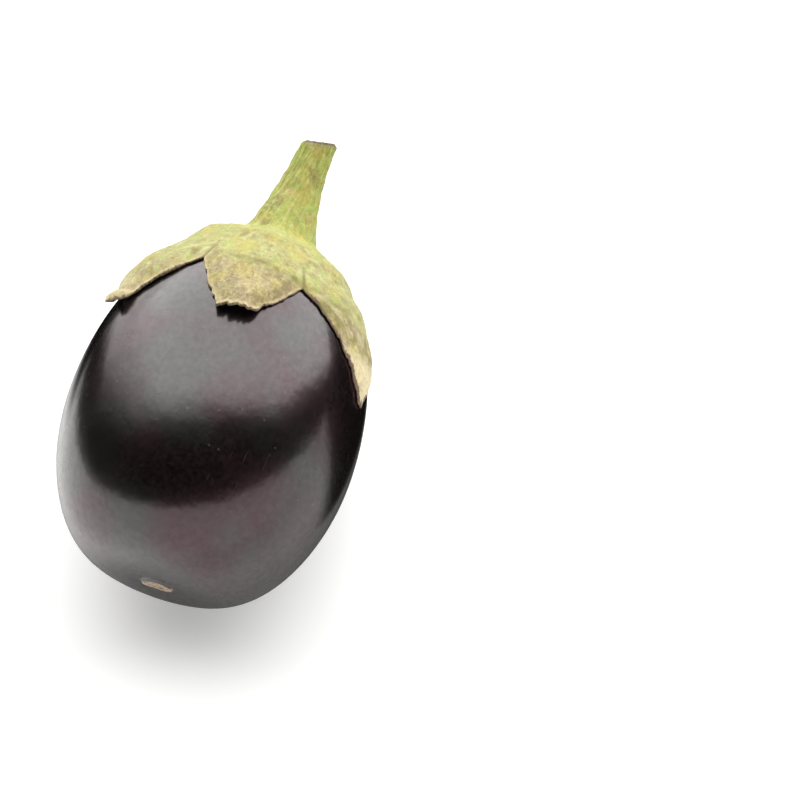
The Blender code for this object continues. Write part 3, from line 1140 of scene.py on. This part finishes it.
    def margin(self, azimuth: Array) -> Array:
        """Makes the rounded edge of the sepals.

        Args:
            azimuth: Azimuths of the columns.

        Returns:
            Rings of points.
        """
        form = self.form
        reach = form.margin_reach(azimuth)
        middle, normal = form.middle(reach, azimuth), form.normal(reach, azimuth)
        overhang = unit(middle - form.middle(reach - self.edge_step, azimuth))
        overhang = overhang * form.margin_thickness * self.edge_bulge
        half = form.thickness(reach, azimuth)[:, None] / 2.0
        angle = np.linspace(0.0, math.pi, self.margin_rings + 2)[1:-1, None, None]
        return middle + normal * half * np.cos(angle) + overhang * np.sin(angle)

    def lining(self, azimuth: Array) -> Array:
        """Makes the underside's middle, which closes against the fruit.

        Args:
            azimuth: Azimuths of the columns.

        Returns:
            Rings of points.
        """
        fruit = self.form.fruit
        arc, turn = np.meshgrid(np.array([self.form.cup_reach / 2.0, 0.0]), azimuth, indexing="ij")
        return fruit.point(arc, turn) + fruit.normal(arc, turn) * self.form.gap

    def creases(self, turn: Array, wander: Array, to_margin: Array) -> Array:
        """Depth share of the creases that run up from each sinus, two beside each other.

        Args:
            turn: Azimuths.
            wander: Noise that makes the creases wander, in degrees.
            to_margin: Distances to the margin in millimetres.

        Returns:
            0 away from a crease, 1 in its middle.
        """
        starts = self.form.rows["start"]
        away = (np.degrees(turn)[..., None] + wander[..., None] - starts + 180.0) % 360.0 - 180.0
        beside, width, depth = self.second_crease
        main = np.exp(-((away / self.crease_width) ** 2)).max(axis=-1)
        second = np.exp(-(((away + beside) / width) ** 2)).max(axis=-1)
        fade = smooth_step(1.0 - to_margin / self.crease_reach_mm)
        return (main + depth * second * smooth_step(to_margin / self.second_crease_from_mm)) * fade

    def build(self, material: bpy.types.Material) -> bpy.types.Object:
        """Makes the cap, roughens its outer face and stores what its finish reads.

        Args:
            material: The cap's material.

        Returns:
            The cap.
        """
        form, azimuth = self.form, self.azimuths()
        cut, cut_share = self.cut_face(azimuth)
        stem, stem_share = self.stem(azimuth)
        flare, flare_share = self.flare(azimuth)
        upper, to_margin = self.sheet(azimuth, self.sheet_rings, 1.0)
        under, under_margin = self.sheet(azimuth, self.under_rings, -1.0)
        under, under_margin = under[::-1], under_margin[::-1]
        parts = (cut, stem, flare, upper, self.margin(azimuth), under, self.lining(azimuth))
        rings = np.concatenate(parts)
        shape = rings.shape[:2]

        def joined(*values: Array | float) -> Array:
            """One value for each point, from an array or a number for each run of rings."""
            filled = [np.broadcast_to(value, (len(part), shape[1])) for value, part in zip(values, parts)]
            return np.concatenate(filled)

        most, least = self.flare_green
        green = least * (1.0 - smooth_step((to_margin[0] - to_margin) / self.green_fade_mm))
        stem_green = 1.0 - most + most * stem_share
        flare_green = most + (least - most) * flare_share
        up_stem = joined(1.0, stem_green, flare_green, green, 0.0, 0.0, 0.0)
        near_edge = smooth_step(to_margin / self.edge_ease_mm + self.edge_rough)
        off_cut = smooth_step((1.0 - stem_share) * 30.0)
        outer = joined(0.0, off_cut, 1.0, near_edge, self.edge_rough, 0.0, 0.0)
        near = joined(FAR_MM, FAR_MM, FAR_MM, to_margin, 0.0, under_margin, FAR_MM)
        down_stem = 1.0 + (1.0 - stem_share) * form.stem_length / MM
        from_pith = joined(cut_share, down_stem, FAR_MM, FAR_MM, FAR_MM, FAR_MM, FAR_MM)
        hidden = joined(0.0, 0.0, 0.0, 0.0, 0.5, 1.0, 1.0)
        reach = (form.margin_reach(azimuth) - form.sinus(azimuth)) / MM
        past = -FAR_MM
        past_sinus = joined(past, past, past, reach - to_margin, reach, reach - under_margin, past)
        steps = np.linalg.norm(np.diff(rings, axis=0), axis=-1)
        path = np.concatenate([np.zeros((1, shape[1])), np.cumsum(steps, axis=0)]) / MM
        turn = np.broadcast_to(azimuth, shape)
        here, _ = form.sepal_at(turn)

        wander = self.wander.at(rings)
        crease = self.creases(turn, wander * self.crease_wander, near)
        fold = np.exp(-((past_sinus - self.fold_place_mm + wander * self.line_wander) ** 2))
        fold = fold * here["fold"] * smooth_step(self.fold_least + self.fold_breaks.at(rings))
        dry = past_sinus - self.dry_from_mm + wander * self.line_wander + self.dry_edge.at(rings)
        dry_share = self.dry_least + (1.0 - self.dry_least) * here["torn"]
        dry = smooth_step(dry / self.dry_over_mm) * dry_share
        bruise = smooth_step(1.3 - np.abs(past_sinus - self.bruise_place_mm) / self.bruise_reach_mm)
        bruise = bruise * smooth_step(self.bruise_least + self.bruise_breaks.at(rings))
        bruise = bruise * here["stain"] * self.bruise_most
        pale = here["pale"] * smooth_step((past_sinus - self.pale_from_mm) / self.pale_over_mm)
        fibres = np.zeros(shape)
        for count, drift, phase, share in self.fibre_waves:
            fibres += share * np.sin(count * turn + wander * drift + phase)
        on_stem = self.fibre_least + (1.0 - self.fibre_least) * smooth_step(up_stem * 1.6)
        rise = self.fibre_height * fibres * on_stem
        rise = rise + self.lumpy.at(rings) + self.warty.at(rings)
        rise = rise + self.cockled.at(rings) * smooth_step(1.0 - up_stem * 3.0)
        rise = rise + self.knobbly.at(rings) * smooth_step(up_stem * 3.0 - 0.6)
        rise = rise - self.crease_depth * crease - self.fold_depth * fold
        sideways = (np.roll(rings, -1, axis=1) - np.roll(rings, 1, axis=1)) / 2.0
        normal = unit(np.cross(np.gradient(rings, axis=0), sideways))
        rings = rings + normal * (rise * outer)[..., None]

        mesh = closed_surface("calyx_with_stem", self.placement.to_world(rings))
        around_mm = np.stack([np.cos(turn), np.sin(turn)], axis=-1) * self.grain_radius_mm
        layers = {
            Layer.GRAIN: np.concatenate([around_mm, path[..., None]], axis=-1),
            Layer.TO_MARGIN: near,
            Layer.UP_STEM: up_stem,
            Layer.CUT_RADIUS: from_pith,
            Layer.UNDERSIDE: hidden,
            Layer.STAIN: here["stain"] * (1.0 - smooth_step(near / self.stain_reach_mm)) * (1.0 - hidden),
            Layer.PALENESS: pale,
            Layer.DRYNESS: dry,
            # Painted shade: creases and folds are darkened in the colour, added to the real bruise stain.
            Layer.CREASE: np.clip(crease + self.fold_painted_shade * fold + bruise, 0.0, 1.0) * (1.0 - hidden),
        }
        for layer, values in layers.items():
            store(mesh, layer, once_each(values))
        mesh.materials.append(material)
        cap = add_object("calyx_with_stem", mesh)
        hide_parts("calyx_and_stem")
        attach(cap, BODY)
        return cap


@dataclass(frozen=True)
class WaxedSkin:
    """Eggplant skin: a thin purple-black peel under its own natural wax, glossy with a soft edge.

    The wax gives two reflections, a sharp one off its face and a wider one off the peel beneath.
    Fine pale pores, a few scuffs, a faint purple bloom and a low waviness keep the gloss from looking
    moulded. The pores are drawn coarser than real ones, which are too fine to show.
    """

    name: str = "natural_waxed_eggplant_skin"
    peel: str = "#030202"
    peel_light: str = "#151011"
    by_cap: str = "#2A0F17"
    under_cap: str = "#B9A98A"
    pore: str = "#3A2D31"
    scuff: str = "#4A3C38"
    cork: str = "#AB9982"
    cork_dark: str = "#4E4034"
    tint_plain: str = "#FFFAF4"
    tint_purple: str = "#FFB9C9"
    roughness: float = 0.26
    wax_roughness: float = 0.15
    dull_roughness: float = 0.75
    ior: float = 1.55
    wax_ior: float = 1.5
    pore_spacing_mm: float = 1.6129
    scuff_stretch: tuple[float, float, float] = (1.6, 1.6, 0.22)

    def material(self) -> bpy.types.Material:
        """Builds the material.

        Returns:
            The material.
        """
        material = blank_material(self.name)
        tree = material.node_tree
        known = read_surface(tree, (Layer.FROM_BLOSSOM, Layer.FROM_CAP), self.scuff_stretch)
        # Each noise's name, what it runs over, the size of its features, its detail and its roughness.
        for name, space, size_mm, detail, roughness in (
            ("blotch", "place", 0.8333, 3.0, 0.5),
            ("streak", "grain", 1.0, 4.0, 0.6),
            ("patch", "place", 18.182, 1.0, 0.5),
            ("wander", "place", 2.0, 3.0, 0.5),
            ("ragged", "place", 1.4286, 3.0, 0.5),
            ("crumbs", "place", 0.66667, 4.0, 0.5),
            ("smudge", "place", 11.111, 4.0, 0.5),
            ("bloom", "place", 1.1765, 4.0, 0.65),
            ("wave", "place", 3.0303, 2.0, 0.5),
            ("tinge", "place", 20.833, 2.0, 0.5),
        ):
            look = {"Vector": known[space], "Scale": 1.0 / size_mm, "Detail": detail}
            look["Roughness"] = roughness
            known[name] = add_node(tree, "ShaderNodeTexNoise", look).outputs[0]
        look = {"Vector": known["place"], "Scale": 1.0 / self.pore_spacing_mm, "Randomness": 1.0}
        pores = add_node(tree, "ShaderNodeTexVoronoi", look).outputs
        known["from pore"] = pores["Distance"]
        known["pore pick"] = add_node(tree, "ShaderNodeSeparateColor", {0: pores["Color"]}).outputs[0]
        steps = (
            ("dot", "RANGE", "from pore", 0.10, 0.17, 1.0, 0.0),
            ("rare", "RANGE", "pore pick", 0.82, 0.9),
            ("pore", "MULTIPLY", "dot", "rare"),
            ("thin", "RANGE", "streak", 0.66, 0.70),
            ("few", "RANGE", "patch", 0.60, 0.68, 0.0, 0.3),
            ("scuff", "MULTIPLY", "thin", "few"),
            ("cap edge", "MULTIPLY_ADD", "wander", 1.4, Layer.FROM_CAP),
            ("by edge", "RANGE", "cap edge", 1.0, 2.5, 0.85, 0.0),
            ("some places", "RANGE", "patch", 0.45, 0.6),
            ("by cap", "MULTIPLY", "by edge", "some places"),
            ("under cap", "RANGE", Layer.FROM_CAP, -12.0, -7.0, 1.0, 0.0),
            ("scar edge", "MULTIPLY_ADD", "ragged", 1.6, Layer.FROM_BLOSSOM),
            ("scar", "RANGE", "scar edge", 3.7, 4.1, 1.0, 0.0),
            ("corky", "MULTIPLY", "crumbs", "scar"),
            ("faint", "MULTIPLY", "scuff", 0.5),
            ("dull", "MAXIMUM", "scar", "faint"),
            ("smudged", "RANGE", "smudge", 0.3, 0.7, self.roughness - 0.03, self.roughness + 0.04),
            ("to matte", "SUBTRACT", self.dull_roughness, "smudged"),
            ("rough", "MULTIPLY_ADD", "dull", "to matte", "smudged"),
            ("full wax", "RANGE", "bloom", 0.36, 0.62, 0.7, 1.0),
            ("wax left", "SUBTRACT", "full wax", "dull"),
            ("wax", "MAXIMUM", "wax left", 0.0),
        )
        add_steps(tree, known, steps)
        for name, value, stops in (
            ("peel colour", "blotch", [(0.36, self.peel), (0.66, self.peel_light)]),
            ("cork colour", "crumbs", [(0.36, self.cork_dark), (0.58, self.cork)]),
            ("tint", "tinge", [(0.40, self.tint_plain), (0.60, self.tint_purple)]),
        ):
            known[name] = add_node(tree, "ShaderNodeValToRGB", {0: known[value]}, stops=stops).outputs[0]
        colour = known["peel colour"]
        for share, over in (
            ("pore", colour_of(self.pore)),
            ("scuff", colour_of(self.scuff)),
            ("by cap", colour_of(self.by_cap)),
            ("under cap", colour_of(self.under_cap)),
            ("scar", known["cork colour"]),
        ):
            laid = {0: known[share], 6: colour, 7: over}
            colour = add_node(tree, "ShaderNodeMix", laid, data_type="RGBA").outputs[2]
        links: dict[str, Any] = {}
        for height, strength, depth_mm in (("wave", 0.10, 0.4), ("dot", 0.05, 0.05), ("corky", 0.7, 0.25)):
            links.update({"Height": known[height], "Strength": strength, "Distance": depth_mm * MM})
            links["Normal"] = add_node(tree, "ShaderNodeBump", links).outputs[0]
        look = {
            "Base Color": colour,
            "Roughness": known["rough"],
            "IOR": self.ior,
            "Specular Tint": known["tint"],
            "Coat Weight": known["wax"],
            "Coat Roughness": self.wax_roughness,
            "Coat IOR": self.wax_ior,
            "Normal": links["Normal"],
            "Coat Normal": links["Normal"],
        }
        shader = add_node(tree, "ShaderNodeBsdfPrincipled", look)
        add_node(tree, "ShaderNodeOutputMaterial", {"Surface": shader.outputs[0]})
        return material


@dataclass(frozen=True)
class CalyxFlesh:
    """Calyx and stem: firm fibrous green tissue, matte with fine down, drying to tan at its edges, with shade
    painted into its creases and folds and onto its underside.
    """

    name: str = "fibrous_calyx_and_stem"
    cup: str = "#A09B60"
    lobe: str = "#A4926C"
    straw: str = "#B0A24A"
    tan: str = "#B4945A"
    stem: str = "#A0A44A"
    green: str = "#A1AA59"
    lime: str = "#8DAA46"
    pale: str = "#C9C68A"
    cream: str = "#DACAA0"
    edge: str = "#BFAC80"
    edge_brown: str = "#5E4128"
    rust: str = "#4C281A"
    olive: str = "#76702F"
    scuff: str = "#7F6C48"
    dirt: str = "#604828"
    # Painted shade: the sepals' underside is coloured near black for the shade beneath them, which the skin
    # reflects; the real underside is paler green.
    under: str = "#1C180F"
    pith: str = "#9C8654"
    bark: str = "#54442A"
    roughness: float = 0.62
    ior: float = 1.42
    fibre_stretch: tuple[float, float, float] = (1.3, 1.3, 0.42)

    def material(self) -> bpy.types.Material:
        """Builds the material.

        Returns:
            The material.
        """
        material = blank_material(self.name)
        tree = material.node_tree
        on_piece = (Layer.TO_MARGIN, Layer.UP_STEM, Layer.CUT_RADIUS, Layer.UNDERSIDE)
        on_piece += (Layer.STAIN, Layer.PALENESS, Layer.DRYNESS, Layer.CREASE)
        known = read_surface(tree, on_piece, self.fibre_stretch)
        # Each noise's name, what it runs over, the size of its features, its detail and its roughness.
        for name, space, size_mm, detail, roughness in (
            ("streak", "grain", 1.0, 4.0, 0.65),
            ("bruise", "grain", 1.1111, 5.0, 0.7),
            ("blotch", "place", 4.3478, 3.0, 0.5),
            ("mottle", "place", 1.7857, 4.0, 0.68),
            ("patch", "place", 5.2632, 2.0, 0.5),
            ("cloud", "place", 3.0303, 2.0, 0.55),
            ("spot", "place", 2.3256, 2.0, 0.5),
            ("fine", "place", 0.76923, 3.0, 0.6),
            ("grit", "place", 0.34483, 2.0, 0.6),
        ):
            look = {"Vector": known[space], "Scale": 1.0 / size_mm, "Detail": detail}
            look["Roughness"] = roughness
            known[name] = add_node(tree, "ShaderNodeTexNoise", look).outputs[0]
        steps = (
            ("inland", "MULTIPLY_ADD", "blotch", 5.0, Layer.TO_MARGIN),
            ("mottled", "ADD", "mottle", "patch"),
            ("worn", "MULTIPLY_ADD", Layer.DRYNESS, 0.17, "mottled"),
            ("flecked", "MULTIPLY_ADD", Layer.DRYNESS, 0.13, "fine"),
            ("limed", "MULTIPLY_ADD", Layer.UP_STEM, 0.12, "streak"),
            ("tanned", "MULTIPLY_ADD", Layer.UP_STEM, 0.12, "cloud"),
            ("stained", "ADD", "bruise", "fine"),
            ("pocked", "ADD", "spot", "grit"),
            ("rusty", "MULTIPLY_ADD", "fine", 1.8, Layer.STAIN),
            ("burnt", "MULTIPLY_ADD", "fine", 1.6, Layer.TO_MARGIN),
            ("from pith", "MULTIPLY_ADD", "blotch", 0.35, Layer.CUT_RADIUS),
            ("ring", "MULTIPLY", "from pith", 0.5),
            ("at cut", "RANGE", "from pith", 1.4, 2.4, 1.0, 0.0),
            ("grainy", "ADD", "grit", "fine"),
            ("speckle", "RANGE", "grainy", 0.7, 1.3, 0.78, 1.16),
            ("rough", "RANGE", "blotch", 0.3, 0.7, self.roughness - 0.08, self.roughness + 0.1),
        )
        add_steps(tree, known, steps)
        colour: Any = colour_of(self.cup)
        # Each wash's colour, what it follows, where it starts, where it is full, and how much it then covers.
        for code, value, start, end, most in (
            (self.lobe, "inland", 9.0, 4.0, 0.55),
            (self.stem, Layer.UP_STEM, 0.12, 0.55, 1.0),
            (self.green, "streak", 0.49, 0.60, 0.7),
            (self.lime, "limed", 0.59, 0.72, 0.8),
            (self.tan, "tanned", 0.61, 0.76, 0.5),
            (self.pale, "mottle", 0.50, 0.34, 0.45),
            (self.lobe, Layer.DRYNESS, 0.1, 0.9, 0.82),
            (self.straw, "blotch", 0.48, 0.62, 0.5),
            (self.olive, "streak", 0.46, 0.33, 0.45),
            (self.scuff, "worn", 1.06, 1.30, 0.6),
            (self.pale, "flecked", 0.58, 0.80, 0.28),
            (self.dirt, "stained", 1.14, 1.38, 0.6),
            (self.dirt, "pocked", 1.24, 1.38, 0.8),
            (self.edge, Layer.TO_MARGIN, 1.2, 0.1, 0.7),
            (self.cream, Layer.PALENESS, 0.0, 1.0, 0.8),
            (self.edge_brown, "burnt", 1.0, 0.6, 0.8),
            (self.rust, "rusty", 1.36, 1.78, 0.9),
            # Painted shade: olive darkening in the creases and folds, with the real bruise stain.
            (self.olive, Layer.CREASE, 0.12, 0.95, 0.8),
            # Painted shade: the underside turns near black.
            (self.under, Layer.UNDERSIDE, 0.0, 1.0, 1.0),
        ):
            add_steps(tree, known, [("wash", "EASED", value, start, end, 0.0, most)])
            laid = {0: known["wash"], 6: colour, 7: colour_of(code)}
            colour = add_node(tree, "ShaderNodeMix", laid, data_type="RGBA").outputs[2]
        stops = [(0.12, self.dirt), (0.24, self.pith), (0.44, self.pith)]
        stops += [(0.52, self.bark), (0.72, self.bark), (0.9, self.scuff)]
        face = add_node(tree, "ShaderNodeValToRGB", {0: known["ring"]}, stops=stops).outputs[0]
        laid = {0: known["at cut"], 6: colour, 7: face}
        colour = add_node(tree, "ShaderNodeMix", laid, data_type="RGBA").outputs[2]
        speckled = {0: colour, "Scale": known["speckle"]}
        colour = add_node(tree, "ShaderNodeVectorMath", speckled, operation="SCALE").outputs[0]
        links: dict[str, Any] = {}
        for height, depth_mm in (("streak", 0.35), ("grainy", 0.22)):
            links.update({"Height": known[height], "Strength": 0.5, "Distance": depth_mm * MM})
            links["Normal"] = add_node(tree, "ShaderNodeBump", links).outputs[0]
        look = {
            "Base Color": colour,
            "Roughness": known["rough"],
            "IOR": self.ior,
            "Sheen Weight": 0.15,
            "Sheen Roughness": 0.5,
            "Normal": links["Normal"],
        }
        shader = add_node(tree, "ShaderNodeBsdfPrincipled", look)
        add_node(tree, "ShaderNodeOutputMaterial", {"Surface": shader.outputs[0]})
        return material


@dataclass(frozen=True)
class Studio:
    """A pale floor, a soft light overhead with a white card low behind the camera, and the camera."""

    placement: Placement
    floor_side: float = 6.0
    floor_colour: str = "#F2F2F0"
    floor_glow: float = 0.25
    black_card: str = "#0A0909"
    left_card_front: tuple[float, float] = (30.0 * MM, 58.0 * MM)
    left_card_slant: float = 1.15
    left_card_side: tuple[float, float] = (45.0 * MM, 5.0 * MM)
    close_card_front: tuple[float, float] = (12.0 * MM, 34.0 * MM)
    close_card_side: tuple[float, float] = (-84.0 * MM, -62.0 * MM)
    right_card_front: tuple[float, float] = (-56.0 * MM, -32.0 * MM)
    right_card_side: tuple[float, float] = (14.0 * MM, 34.0 * MM)
    shade_reach: tuple[float, float] = (92.0 * MM, 15.0 * MM)
    shade_side: tuple[float, float] = (-62.0 * MM, -30.0 * MM)
    shade_least: float = 0.22
    camera_azimuth: float = math.radians(-154.787)
    camera_elevation: float = math.radians(62.358)
    camera_distance: float = 0.6
    lens_mm: float = 142.706
    seen_along: float = 1.57 * MM
    seen_px: tuple[float, float] = (214.0, 426.0)
    aim_rounds: int = 12
    card_light: float = 1.4
    card_edge: tuple[float, float, float] = (-0.79, 0.07, 1.0)
    card_softness: float = 0.035
    box_light: float = 3.02
    dark: float = 0.005
    box_edges: tuple[tuple[float, float, float], ...] = (
        (-0.947, 0.322, -0.004),
        (-1.004, 0.061, 0.064),
        (-0.900, -0.205, 0.440),
        (-0.598, 0.676, 0.436),
    )
    box_softness: tuple[float, ...] = (0.18, 0.11, 0.06, 0.30)

    def towards_camera(self) -> Vector:
        """The level direction from the eggplant towards the camera."""
        return Vector((math.cos(self.camera_azimuth), math.sin(self.camera_azimuth), 0.0))

    def camera(self) -> bpy.types.Object:
        """Adds the camera at the photograph's viewing angle and distance.

        Returns:
            The camera.
        """
        target = Vector(self.placement.to_world(np.array([[self.seen_along, 0.0, 0.0]]))[0].tolist())
        level = self.towards_camera()
        back = level * math.cos(self.camera_elevation) + Z_AXIS * math.sin(self.camera_elevation)
        place = target + back * self.camera_distance
        per_slope = self.lens_mm / SENSOR_WIDTH_MM * IMAGE_SIDE_PX
        aim = target.copy()
        for _ in range(self.aim_rounds):
            turn = (aim - place).to_track_quat("-Z", "Y").to_matrix()
            seen = turn.transposed() @ (target - place)
            x = IMAGE_SIDE_PX / 2.0 - per_slope * seen.x / seen.z
            y = IMAGE_SIDE_PX / 2.0 + per_slope * seen.y / seen.z
            px = self.camera_distance / per_slope
            aim += turn @ Vector(((x - self.seen_px[0]) * px, (self.seen_px[1] - y) * px, 0.0))
        data = bpy.data.cameras.new("photo_camera")
        data.lens = self.lens_mm
        data.sensor_width = SENSOR_WIDTH_MM
        data.clip_start = 0.01
        data.clip_end = 20.0
        made = bpy.data.objects.new("photo_camera", data)
        turn = (aim - place).to_track_quat("-Z", "Y").to_matrix()
        made.matrix_world = Matrix.Translation(place) @ turn.to_4x4()
        bpy.context.scene.collection.objects.link(made)
        bpy.context.scene.camera = made
        return made

    def floor(self) -> bpy.types.Object:
        """Adds the floor. In the skin's reflections black cards lie on it behind and beside the eggplant.

        Returns:
            The floor, which is no part of the eggplant.
        """
        half = self.floor_side / 2.0
        mesh = bpy.data.meshes.new("pale_floor")
        corners = [(-half, -half, 0.0), (half, -half, 0.0), (half, half, 0.0), (-half, half, 0.0)]
        mesh.from_pydata(corners, [], [(0, 1, 2, 3)])
        material = blank_material("matte_white_paper")
        tree = material.node_tree
        look = {
            "Base Color": colour_of(self.floor_colour),
            "Roughness": 0.95,
            "Specular IOR Level": 0.1,
            "Emission Color": WHITE,
            "Emission Strength": self.floor_glow,
        }
        paper = add_node(tree, "ShaderNodeBsdfPrincipled", look).outputs[0]
        place = add_node(tree, "ShaderNodeTexCoord").outputs["Object"]
        level = self.towards_camera()
        known = {"reflected": add_node(tree, "ShaderNodeLightPath").outputs["Is Glossy Ray"]}
        for name, way in (("behind", -level), ("beside", Z_AXIS.cross(level))):
            dot = add_node(tree, "ShaderNodeVectorMath", {0: place, 1: way}, operation="DOT_PRODUCT")
            known[name] = dot.outputs["Value"]
        away = add_node(tree, "ShaderNodeVectorMath", {0: place}, operation="LENGTH")
        known["away"] = away.outputs["Value"]
        steps = (
            ("slant", "MULTIPLY_ADD", "behind", self.left_card_slant, "beside"),
            ("left front", "EASED", "behind", *self.left_card_front),
            ("left side", "EASED", "slant", *self.left_card_side),
            ("left", "MULTIPLY", "left front", "left side"),
            ("close front", "EASED", "behind", *self.close_card_front),
            ("close side", "EASED", "beside", *self.close_card_side),
            ("close", "MULTIPLY", "close front", "close side"),
            ("right front", "EASED", "behind", *self.right_card_front),
            ("right side", "EASED", "beside", *self.right_card_side),
            ("right", "MULTIPLY", "right front", "right side"),
            ("shade", "EASED", "away", *self.shade_reach, self.shade_least),
            ("shade side", "EASED", "beside", *self.shade_side),
            ("shaded", "MULTIPLY", "shade", "shade side"),
            ("one card", "MAXIMUM", "shaded", "left"),
            ("two cards", "MAXIMUM", "one card", "close"),
            ("all cards", "MAXIMUM", "two cards", "right"),
            ("dark", "MULTIPLY", "all cards", "reflected"),
        )
        add_steps(tree, known, steps)
        black = add_node(tree, "ShaderNodeBsdfDiffuse", {"Color": colour_of(self.black_card)}).outputs[0]
        shown = add_node(tree, "ShaderNodeMixShader", {0: known["dark"], 1: paper, 2: black})
        add_node(tree, "ShaderNodeOutputMaterial", {"Surface": shown.outputs[0]})
        mesh.materials.append(material)
        made = add_object("pale_floor", mesh)
        return made

    def world(self) -> bpy.types.World:
        """Lights the scene with a soft box overhead and a white card low behind the camera.

        Returns:
            The world.
        """
        world = bpy.data.worlds.new("soft_studio")
        world.use_nodes = True
        tree = world.node_tree
        tree.nodes.clear()
        level = self.towards_camera()
        right = Z_AXIS.cross(level)
        ray = add_node(tree, "ShaderNodeTexCoord").outputs["Generated"]
        heights = []
        for along, across, above in (*self.box_edges, self.card_edge):
            edge = (level * along + right * across + Z_AXIS * above).normalized()
            dot = add_node(tree, "ShaderNodeVectorMath", {0: ray, 1: edge}, operation="DOT_PRODUCT")
            heights.append(dot.outputs["Value"])
        known = {"box": 1.0, "low": heights[-1]}
        for height, soft in zip(heights, self.box_softness):
            known["height"] = height
            steps = (("inside", "EASED", "height", -soft, soft), ("box", "MULTIPLY", "box", "inside"))
            add_steps(tree, known, steps)
        steps = (
            ("card", "EASED", "low", -self.card_softness, 0.0, self.card_light, 0.0),
            ("box lit", "MULTIPLY_ADD", "box", self.box_light, self.dark),
            ("lit", "ADD", "box lit", "card"),
        )
        add_steps(tree, known, steps)
        seen = add_node(tree, "ShaderNodeLightPath").outputs["Is Camera Ray"]
        shown = add_node(tree, "ShaderNodeMix", {0: seen, 2: known["lit"], 3: 1.0}).outputs[0]
        sky = add_node(tree, "ShaderNodeBackground", {"Color": WHITE, "Strength": shown})
        add_node(tree, "ShaderNodeOutputWorld", {"Surface": sky.outputs[0]})
        bpy.context.scene.world = world
        bpy.context.scene.view_settings.view_transform = "Standard"
        return world


def main() -> None:
    """Builds the eggplant, its studio and its camera."""
    logging.basicConfig(level=logging.INFO, format="%(name)s: %(message)s")
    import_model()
    fruit_form = FruitForm()
    placement = Placement.from_frame(fruit_form)
    cap_form = CapForm(fruit_form)
    fruit = Fruit(fruit_form, placement).build(cap_form, WaxedSkin().material())
    LOG.info("%s: %d faces", fruit.name, len(fruit.data.polygons))
    cap = Cap(cap_form, placement).build(CalyxFlesh().material())
    LOG.info("%s: %d faces", cap.name, len(cap.data.polygons))
    studio = Studio(placement)
    studio.floor()
    studio.world()
    camera = studio.camera()
    LOG.info("%s at %s", camera.name, tuple(round(value, 4) for value in camera.matrix_world.translation))
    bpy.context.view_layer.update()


if __name__ == "__main__":
    main()
